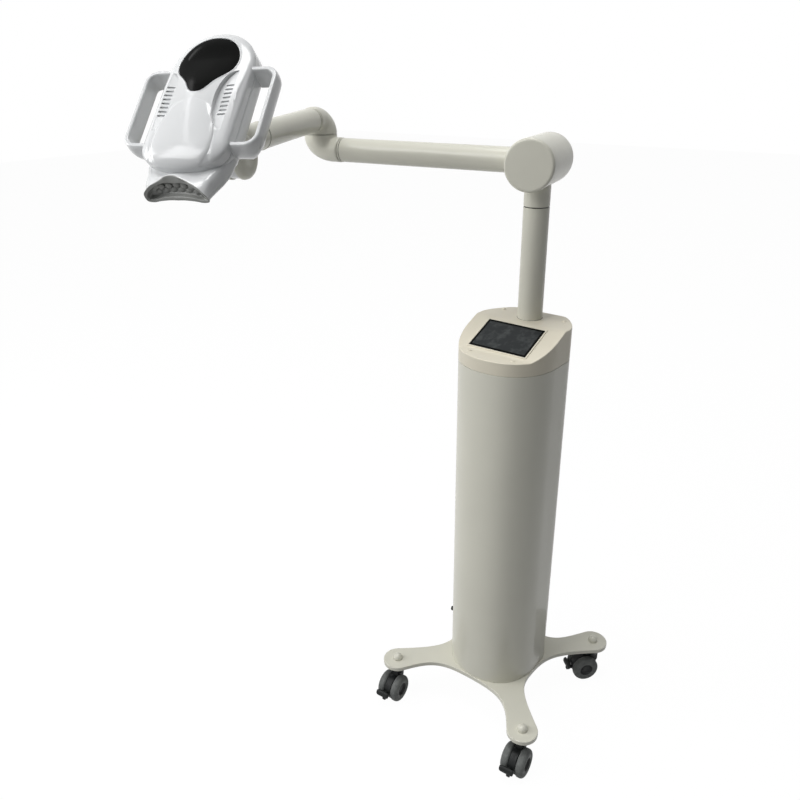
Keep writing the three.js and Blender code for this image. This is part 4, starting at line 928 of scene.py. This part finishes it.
VENT_OUTER, VENT_INNER = 56, 33
VENT_BACK, VENT_FRONT = 50, -54
VENT_DEPTH = 7.5
SLOT_X = 49.5
SLOT_START, SLOT_PITCH, SLOT_COUNT = 23, 7.3, 8
SLOT_LENGTH, SLOT_WIDTH = 13.5, 3.2
SLOT_DEPTH = 3.2


def window_loop(margin):
    """The window's outline, from its blunt tip round its circular back."""
    return inset_loop(mirrored_loop(smooth_line(WINDOW, 5)), -margin - WINDOW_GROWTH)


def vent_loop(side, margin):
    """A vent's outline: straight along the head's edge and bulging towards the middle."""
    outer, back, front = VENT_OUTER + margin, VENT_BACK + margin, VENT_FRONT - margin
    bulge = (VENT_INNER - margin - outer / 4) * 4 / 3
    loop = bezier((outer, back), (bulge, back), (bulge, front), (outer, front), 28)
    loop += [(outer, front + (back - front) * k / 24) for k in range(1, 24)]
    return loop if side > 0 else [(-x, y) for x, y in reversed(loop)]


def vent_floor_height(x, y):
    """The vent's floor, deep at its inner edge and level with the crown at its outer edge."""
    share = clamp((abs(x) - 30) / 26)
    outer, inner = crown(math.copysign(VENT_OUTER, x), y), crown(math.copysign(VENT_INNER, x), y)
    return mix(inner - VENT_DEPTH, outer - 0.2, share)


def vent_shade_height(x, y):
    return vent_floor_height(x, y) - SLOT_DEPTH


def vent_wall(side):
    loop = vent_loop(side, 0)
    return skin([[(x, y, height(x, y)) for x, y in loop] for height in (crown, vent_floor_height)])


def slot_loops(side):
    loops = []
    for k in range(SLOT_COUNT):
        y = SLOT_START - SLOT_PITCH * k
        ends = [(side * SLOT_X + end * (SLOT_LENGTH - SLOT_WIDTH) / 2, -90 * end) for end in (1, -1)]
        loops.append([p for x, start in ends for p in arc(SLOT_WIDTH / 2, x, y, start, start + 180, 5)])
    return loops


def window_crown(x, y):
    return smooth_crown(x, y) - 0.1


def window_rim():
    """A thin raised rim around the window."""
    section = [
        (-0.7, -1.3), (0.3, -0.7), (0.4, -0.4), (0.4, 0.3), (0.75, 0.62), (1.2, 0.7), (1.7, 0.55),
        (2.3, 0.12), (2.7, -0.15),
    ]
    return skin([
        [(x, y, smooth_crown(x, y) + rise) for x, y in window_loop(margin)] for margin, rise in section
    ])


def lower_shell():
    """The shallow underside with its rounded edge, and the side wall up to the parting line."""
    levels = []
    for share in [k / 7 for k in range(7)]:
        levels.append((26 * (1 - share), 78 + 9 * (1 - (1 - share ** 2.4) ** (1 / 2.4)), 27))
    levels += [
        (0, 88, 27), (0, 96, 27.5), (0, 98.5, 30), (0, 100.6, 36), (0, 101.2, 40), (0, 102.2, 42),
        (0, 106.2, 42), (0.6, 106.85, 42),
    ]
    return skin([head_loop(*level) for level in levels], True, False)


def head_piece(name, *meshes, slot="white_gloss", look=white, replaces=(), sharp=35.0):
    piece(name, "head", slot, look, placed(head_frame, *meshes), sharp, replaces)


holes = [window_loop(0.4), vent_loop(1, 0), vent_loop(-1, 0)]
edge_rings = [head_loop(inset, 0) for inset in (0.5, 1.4, 3)]
petal_rings = [inset_loop(petal_loop, PETAL_EDGE), petal_loop, inset_loop(petal_loop, -PETAL_EDGE)]
head_top = fill(head_loop(0, 0), holes, edge_rings + petal_rings, 4.0, crown)
upper_wall = skin([
    head_loop(0.5, PARTING + 0.15), head_loop(0, PARTING + 0.75), head_loop(0, 115),
    [(x, y, crown(x, y)) for x, y, _ in head_loop(0, HEAD_TOP - EDGE_RISE)],
])
head_piece(
    "upper_shell", head_top, upper_wall, *[vent_wall(side) for side in SIDES.values()],
    replaces=["head_upper_shell"], sharp=32,
)
for name, side in SIDES.items():
    slots = slot_loops(side)
    head_piece(
        f"vent_{name}", fill(vent_loop(side, 0), slots, [], 5.0, vent_floor_height),
        *[flat_wall(slot, vent_floor_height, SLOT_DEPTH) for slot in slots],
        replaces=[f"vent_grille_{name}"], sharp=32,
    )
    head_piece(f"vent_shade_{name}", fill(vent_loop(side, -2), [], [], 8.0, vent_shade_height))
head_piece(
    "window", fill(window_loop(-0.6), [], [window_loop(-4)], 5.0, window_crown),
    flat_wall(window_loop(-0.6), window_crown, 2),
    slot="black_gloss", look=black_glass, replaces=["head_window"], sharp=40,
)
head_piece("window_rim", window_rim(), sharp=50)
head_piece("lower_shell", lower_shell(), replaces=["head_lower_shell"], sharp=50)
head_piece(
    "parting_shadow", skin([head_loop(0.9, PARTING - 0.5), head_loop(0.9, PARTING + 0.5)]),
    slot="black_plastic", look=black,
)


# Handles

HANDLE_TOP = 119.2
HANDLE_OUTER, HANDLE_BACK, HANDLE_FRONT = 107, 61.5, -68.5
HANDLE_BEND = 17
HANDLE_ROOTS = (68, 72, 80)
GRIP_HEIGHT, LEG_HEIGHT = 26, 36.5
LEG_BULGE = 2.4
HANDLE_SECTION = [
    (0.5, 0), (2.3, 0.008), (3.3, 0.035), (3.9, 0.09), (4.4, 0.2), (4.7, 0.34), (4.6, 0.5), (4.0, 0.66),
    (2.8, 0.82), (0.9, 0.94), (-0.9, 0.99), (-2.4, 1.0), (-3.4, 0.96), (-3.8, 0.86), (-3.4, 0.6),
    (-3.0, 0.35), (-2.9, 0.15), (-2.7, 0.05), (-1.8, 0.008),
]


def handle_path(side):
    """Centre line of a handle's ribbon in plan, from the front root to the back root."""
    bend_x = HANDLE_OUTER - HANDLE_BEND
    front, back = HANDLE_FRONT + HANDLE_BEND, HANDLE_BACK - HANDLE_BEND
    path = [
        *[(x, HANDLE_FRONT) for x in HANDLE_ROOTS], *arc(HANDLE_BEND, bend_x, front, -90, 0, 10),
        *[(HANDLE_OUTER, mix(front, back, k / 6)) for k in range(1, 6)],
        *arc(HANDLE_BEND, bend_x, back, 0, 90, 10), *[(x, HANDLE_BACK) for x in reversed(HANDLE_ROOTS)],
    ]
    return [(side * x, y) for x, y in path]


def handle_skin(side):
    """A ribbon with a thin rounded rim, a bulging outer wall, deeper legs and a lower edge that draws in."""
    path = handle_path(side)
    loops = []
    for k, (x, y) in enumerate(path):
        before, after = path[max(k - 1, 0)], path[min(k + 1, len(path) - 1)]
        along = Vector((after[0] - before[0], after[1] - before[1])).normalized()
        outward = Vector((along.y, -along.x)) * side
        leg = ease(clamp((109 - abs(x)) / 20))
        tall = mix(GRIP_HEIGHT, LEG_HEIGHT, leg)
        loop = []
        for out, down in HANDLE_SECTION:
            out += LEG_BULGE * leg * math.sin(math.pi * down) * (out > 0)
            loop.append((x + outward.x * out, y + outward.y * out, HANDLE_TOP - down * tall))
        loops.append(loop)
    return skin(loops)


for name, side in SIDES.items():
    head_piece(f"grip_{name}", handle_skin(side), replaces=[f"handle_{name}"], sharp=60)


# Nozzle: right halves of its loops, from the top's middle round to the bottom's

MOUTH = [
    (0, -131, 130.2), (6, -131.3, 130), (12.3, -133.2, 128.9), (16.5, -134.2, 127), (21.6, -135.5, 124.6),
    (28.8, -138.2, 122.6), (37.3, -141.8, 120.4), (43.6, -145.3, 117), (48.2, -148.4, 113),
    (50.4, -149.3, 108), (51.4, -149.9, 102), (49.6, -150.5, 96.8), (40, -150.8, 95.6), (28, -150, 97.6),
    (12, -149.3, 98.8), (0, -149.5, 98.9),
]
WAIST = [
    (0, -121.5, 121.5), (7, -121.7, 121), (14, -122.5, 120), (20, -123.5, 118.6), (27, -124.5, 117.2),
    (34, -126, 116.6), (42, -127.5, 116.2), (48, -128.5, 115.2), (51.2, -129.5, 112.8), (53, -130, 108),
    (54.3, -130, 100), (52.8, -129, 90.5), (44, -129, 88.2),
    *[(x, -129, 88) for x in (30, 14, 0)],
]
ROOT = [
    (0, -112, 110.5), (8, -112, 110.5), (16, -112, 110.7), (23, -112.5, 111), (30, -113, 111.4),
    (37, -113.8, 112), (44, -115, 112.8), (49.6, -116, 113.2), (53, -117, 111), (56, -117, 107),
    (58.8, -117, 99), (58, -116.5, 87.8), (48, -116, 83.5), (32, -116, 82.5), (16, -116, 82.5),
    (0, -116, 82.5),
]
INSIDE = [
    *[(x, -98, 108) for x in (0, 9, 18, 26, 34, 41, 48)], (55, -99, 108), (59, -100, 107),
    (62.5, -100, 104), (65.6, -100, 97), (64.6, -100, 86.6), (54, -100, 80),
    *[(x, -100, 79) for x in (36, 18, 0)],
]
END = [
    *[(x, -80, 105) for x in (0, 9, 18, 26, 34, 42, 50, 57, 62)], (66, -80, 103), (68.6, -80, 96),
    (67.8, -80, 87.4), (55, -80, 79.4), *[(x, -80, 78.6) for x in (36, 18, 0)],
]
LENS_RADIUS, LENS_RISE = 5.4, 3.4
LENS_PITCH = 12.4
LENS_SETBACK = 7.2
LENS_ROWS = [(5, 8.2), (6, 0.4)]
nozzle_axis = (Vector((0, -100, 97)) - Vector((0, -144, 109))).normalized()


def closed_line(half):
    """A smooth closed loop in space from its right half."""
    return mirrored_loop(smooth_line(half, 4))


def drawn_in(loop, inset, depth):
    """A loop moved towards its own middle, and back along the nozzle's axis."""
    moved = []
    for x, y, z in loop:
        centre = Vector((x * 0.84, -141.5 - abs(x) * 0.09, 110.5 - abs(x) * 0.08))
        along = (centre - Vector((x, y, z))).normalized()
        moved.append(tuple(Vector((x, y, z)) + along * inset + nozzle_axis * depth))
    return moved


def rim_loop(inset, depth):
    """A step of the mouth's inner rim, whose flat band is much wider over the hump than elsewhere."""
    loop = []
    for x, y, z in mouth_loop:
        hump = max(0.0, 1 - abs(x) / 26) if z > 112 else 0.0
        loop += drawn_in([(x, y, z)], inset * (1 + 1.5 * ease(hump)), depth)
    return loop


def lens_array():
    """The bank of lenses: domes of clear grey plastic in two rows at the back of the mouth."""
    across = Vector((1, 0, 0))
    upward = nozzle_axis.cross(across)
    turn = Matrix((across, upward, nozzle_axis)).transposed().to_4x4()
    lens = lathe([(LENS_RADIUS * c, -LENS_RISE * s) for c, s in quarter(8)], 24)
    parts = []
    for count, drop in LENS_ROWS:
        for k in range(count):
            x = (k - (count - 1) / 2) * LENS_PITCH
            centre = Vector((x, -141.5 - abs(x) * 0.09, 106.5 - abs(x) * 0.06))
            centre += nozzle_axis * LENS_SETBACK - upward * drop
            parts += placed(head_frame @ Matrix.Translation(centre) @ turn, lens)
    return parts


mouth_loop = closed_line(MOUTH)
waist_loop, root_loop = closed_line(WAIST), closed_line(ROOT)
between = [
    [tuple(mix(p[i], q[i], share) for i in range(3)) for p, q in zip(waist_loop, root_loop)]
    for share in (0.35, 0.7)
]
snout = skin([
    *[drawn_in(mouth_loop, inset, depth) for inset, depth in [(0.6, 1.2), (0.5, 2.4), (0.9, 5)]],
    waist_loop, *between, root_loop, closed_line(INSIDE), closed_line(END),
])
LIP_STEPS = [(0.6, 1.2), (-0.1, 0.9), (-0.1, 0.2), (0.5, -0.25)]
RIM_STEPS = [(1.6, -0.4), (3.8, -0.2), (4.7, 0.5), (5.2, 2), (5.9, 4.5), (7.2, 7.5), (9.5, 7.9)]
liner = skin([
    *[drawn_in(mouth_loop, inset, depth) for inset, depth in LIP_STEPS],
    *[rim_loop(inset, depth) for inset, depth in RIM_STEPS],
], False, True)
head_piece("snout", snout, sharp=50)
head_piece("mouth", liner, slot="grey_plastic", look=grey, replaces=["nozzle"], sharp=50)
piece("lenses", "head", "grey_plastic", grey, lens_array(), replaces=["lens_plate"], sharp=50)


# Casters

# Signs of x and y, and the turn of each caster
CASTERS = {
    "front_left": (-1, -1, -84), "front_right": (1, -1, -84), "back_left": (-1, 1, -84),
    "back_right": (1, 1, -130),
}
AXLE_X, AXLE_Z = 20, -55
PEDAL_X, PEDAL_Z = 41, -59
DOME_RADIUS, DOME_HEIGHT, DOME_START = 10.5, 9.7, 12.6
HOOD_RADIUS = 28
TYRE = [
    (4, 8.3), (25, 8.3), *arc(5, 25, 13.3, -90, 0, 6),
    *bezier((30, 17), (30, 21.5), (27, 25), (22.5, 25.6), 8), (19, 25.5), (16.5, 24.9), (14.6, 23.8),
]
HUB = [
    (14.8, 24.0), (13.6, 22.9), (12.6, 20.2), (11.6, 19.2), (8.5, 18.8), (8.1, 19.8), (4.0, 20.3), (0, 20.4),
]
WHEEL_AXLE = [(4, -9), (4, 9)]
COLLAR = [(0, -2), (19, -2), (20, -3), (20, -6), (18, -7.5), (13, -9), (13, -25), (0, -25)]
DOME = [
    (DOME_RADIUS, 10.3), *[(DOME_RADIUS * c, DOME_START + DOME_HEIGHT * s) for c, s in quarter(10)],
]
# Place along the pedal's bar and size of its section there
PEDAL_BAR = [
    (-22, 0.3), (-21.4, 0.66), (-20, 0.87), (-18, 0.97), (-15, 1), (5, 1), (7, 0.95), (8.2, 0.8), (8.8, 0.5),
]


def chamfered(low, high, edge):
    """A block with chamfered edges, longest along X."""
    loops = []
    for x, shrink in [(low[0], edge), (low[0] + edge, 0), (high[0] - edge, 0), (high[0], edge)]:
        y0, y1, z0, z1 = low[1] + shrink, high[1] - shrink, low[2] + shrink, high[2] - shrink
        loops.append([
            (x, y0 + edge, z0), (x, y1 - edge, z0), (x, y1, z0 + edge), (x, y1, z1 - edge),
            (x, y1 - edge, z1), (x, y0 + edge, z1), (x, y0, z1 - edge), (x, y0, z0 + edge),
        ])
    return skin(loops, True, True)


def caster_hood():
    """The housing between the wheels: a disc with a hood that runs forward to the stem socket."""
    outline = arc(HOOD_RADIUS, AXLE_X, AXLE_Z, -150, 100, 24)
    outline += [(10, -7), (6, -6), (-13, -6), (-13, -40), (-8, -52), (-5, -60)]
    levels = [(-8, 1.0), (-7, 0), (7, 0), (8, 1.0)]
    return skin([[(x, y, z) for x, z in inset_loop(outline, inset)] for y, inset in levels], True, True)


def pedal_bar():
    """The tread that the toe presses: a bar with rounded ends across the wheels."""
    loops = []
    for y, size in PEDAL_BAR:
        section = oval(size, size, 0, 24)
        loops.append([(14.8 + 4.2 * c, y, 4.5 + 6.4 * s - 2.2 * c) for c, s, _ in section])
    return skin(loops, True, True)


pedal_parts = [
    chamfered((-3.5, -2.6, -5.5), (14, 2.6, 2.5), 0.9), pedal_bar(), chamfered((11, -5, -7), (19, 3, 1), 1.2),
]
for place, (side_x, side_y, turn) in CASTERS.items():
    on_plate = shift(side_x * CASTER_REACH, side_y * CASTER_REACH, 0)
    caster_frame = on_plate @ rotation(turn, "Z")
    axle_frame = caster_frame @ shift(AXLE_X, 0, AXLE_Z) @ ALONG_Y
    cream_piece(f"dome_{place}", "stand", on_plate, lathe(DOME, 48), replaces=[f"caster_stem_{place}"])
    piece(
        f"housing_{place}", f"caster_{place}", "black_plastic", black,
        placed(caster_frame, caster_hood(), lathe(COLLAR, 48)), replaces=[f"caster_body_{place}"], sharp=40,
    )
    wheel_parts = []
    for side in SIDES.values():
        half_frame = axle_frame @ Matrix.Scale(side, 4, (0, 0, 1))
        wheel_parts += placed(half_frame, lathe(TYRE, 64)) + placed(half_frame, lathe(HUB, 64), look=1)
    wheel_parts += placed(axle_frame, lathe(WHEEL_AXLE, 16), look=1)
    piece(
        f"wheels_{place}", f"wheels_{place}", "grey_tyre", [tyre, black], wheel_parts,
        replaces=[f"caster_wheels_{place}"], sharp=40,
    )
    piece(
        f"pedal_{place}", f"pedal_{place}", "black_plastic", black,
        placed(caster_frame @ shift(PEDAL_X, 0, PEDAL_Z), *pedal_parts),
        replaces=[f"caster_pedal_{place}"], sharp=40,
    )


# Camera

CAMERA = Vector((0.6659, -1.1645, 1.2437))
AZIMUTH, PITCH, ROLL = 39.0, 24.30, -0.79
FOCAL_PIXELS = 740.4
IMAGE_SIZE = 800
SENSOR = 36.0


def make_camera():
    data = bpy.data.cameras.new("camera")
    data.sensor_width = SENSOR
    data.lens = FOCAL_PIXELS / IMAGE_SIZE * SENSOR
    data.clip_start, data.clip_end = 0.05, 50
    camera = bpy.data.objects.new("camera", data)
    turn = rotation(AZIMUTH, "Z") @ rotation(90 - PITCH, "X") @ rotation(ROLL, "Z")
    camera.matrix_world = Matrix.Translation(CAMERA) @ turn
    bpy.context.scene.collection.objects.link(camera)
    bpy.context.scene.camera = camera


# Floor, world and lamps

FLOOR = -0.085
FLOOR_REACH = 12
FLOOR_GREY = (0.48, 0.48, 0.48, 1)
FLOOR_GLOW = 1.05
FLOOR_GLOW_SHARE = 0.93
SKY = (0.95, 0.97, 1.0, 1)
SKY_LIGHT = 0.12
WHITE = (1, 1, 1, 1)
# Place, target, power, width and height of each lamp
LAMPS = {
    "left": ((-2.5, -2.0, 1.75), (-0.1, -0.1, 0.85), 44, 1.2, 1.8),
    "front": ((-1.0, -2.8, 2.9), (-0.1, -0.1, 0.7), 38, 1.5, 1.5),
    "top": ((-0.3, -0.2, 6.0), (-0.1, -0.1, 0.7), 150, 2.4, 2.4),
    "streak": ((-1.2, -1.1, 2.8), (-0.26, -0.45, 1.12), 1.6, 1.5, 0.07),
}


def seen_directly(nodes, links):
    """1 for camera, glossy and transmission rays, and 0 for the light that falls on things."""
    path = nodes.new("ShaderNodeLightPath")
    found = path.outputs["Is Camera Ray"]
    for ray in ("Is Glossy Ray", "Is Transmission Ray"):
        either = nodes.new("ShaderNodeMath")
        either.operation = "MAXIMUM"
        links.new(found, either.inputs[0])
        links.new(path.outputs[ray], either.inputs[1])
        found = either.outputs[0]
    return found


def blend_into(output, nodes, links, share, first, second):
    blend = nodes.new("ShaderNodeMixShader")
    links.new(share, blend.inputs["Fac"])
    links.new(first.outputs[0], blend.inputs[1])
    links.new(second.outputs[0], blend.inputs[2])
    links.new(blend.outputs[0], output.inputs["Surface"])


def make_floor():
    """A pale floor that keeps the object's shadow and otherwise shows nearly white."""
    mesh = bpy.data.meshes.new("floor")
    signs = [(-1, -1), (1, -1), (1, 1), (-1, 1)]
    corners = [(sx * FLOOR_REACH, sy * FLOOR_REACH, FLOOR) for sx, sy in signs]
    mesh.from_pydata(corners, [], [[0, 1, 2, 3]])
    floor = bpy.data.objects.new("floor", mesh)
    bpy.context.scene.collection.objects.link(floor)
    look = bpy.data.materials.new("floor")
    look.use_nodes = True
    nodes, links = look.node_tree.nodes, look.node_tree.links
    nodes.clear()
    output = nodes.new("ShaderNodeOutputMaterial")
    diffuse = nodes.new("ShaderNodeBsdfDiffuse")
    diffuse.inputs["Color"].default_value = FLOOR_GREY
    glow = nodes.new("ShaderNodeEmission")
    glow.inputs["Strength"].default_value = FLOOR_GLOW
    share = nodes.new("ShaderNodeMath")
    share.operation = "MULTIPLY"
    share.inputs[1].default_value = FLOOR_GLOW_SHARE
    links.new(seen_directly(nodes, links), share.inputs[0])
    blend_into(output, nodes, links, share.outputs[0], diffuse, glow)
    mesh.materials.append(look)


def make_world():
    """White where it is seen, and a weak light elsewhere."""
    world = bpy.data.worlds.new("world")
    bpy.context.scene.world = world
    world.use_nodes = True
    nodes, links = world.node_tree.nodes, world.node_tree.links
    nodes.clear()
    output = nodes.new("ShaderNodeOutputWorld")
    lit, seen = nodes.new("ShaderNodeBackground"), nodes.new("ShaderNodeBackground")
    for background, colour, strength in ((lit, SKY, SKY_LIGHT), (seen, WHITE, 1.0)):
        background.inputs["Color"].default_value = colour
        background.inputs["Strength"].default_value = strength
    blend_into(output, nodes, links, seen_directly(nodes, links), lit, seen)


def make_lamps():
    for name, (position, target, power, width, height) in LAMPS.items():
        data = bpy.data.lights.new(name, "AREA")
        data.energy = power
        data.shape = "RECTANGLE"
        data.size, data.size_y = width, height
        lamp = bpy.data.objects.new(name, data)
        lamp.location = position
        lamp.rotation_mode = "QUATERNION"
        lamp.rotation_quaternion = (Vector(target) - Vector(position)).to_track_quat("-Z", "Y")
        bpy.context.scene.collection.objects.link(lamp)


make_camera()
make_floor()
make_world()
make_lamps()
bpy.context.scene.view_settings.view_transform = "Standard"
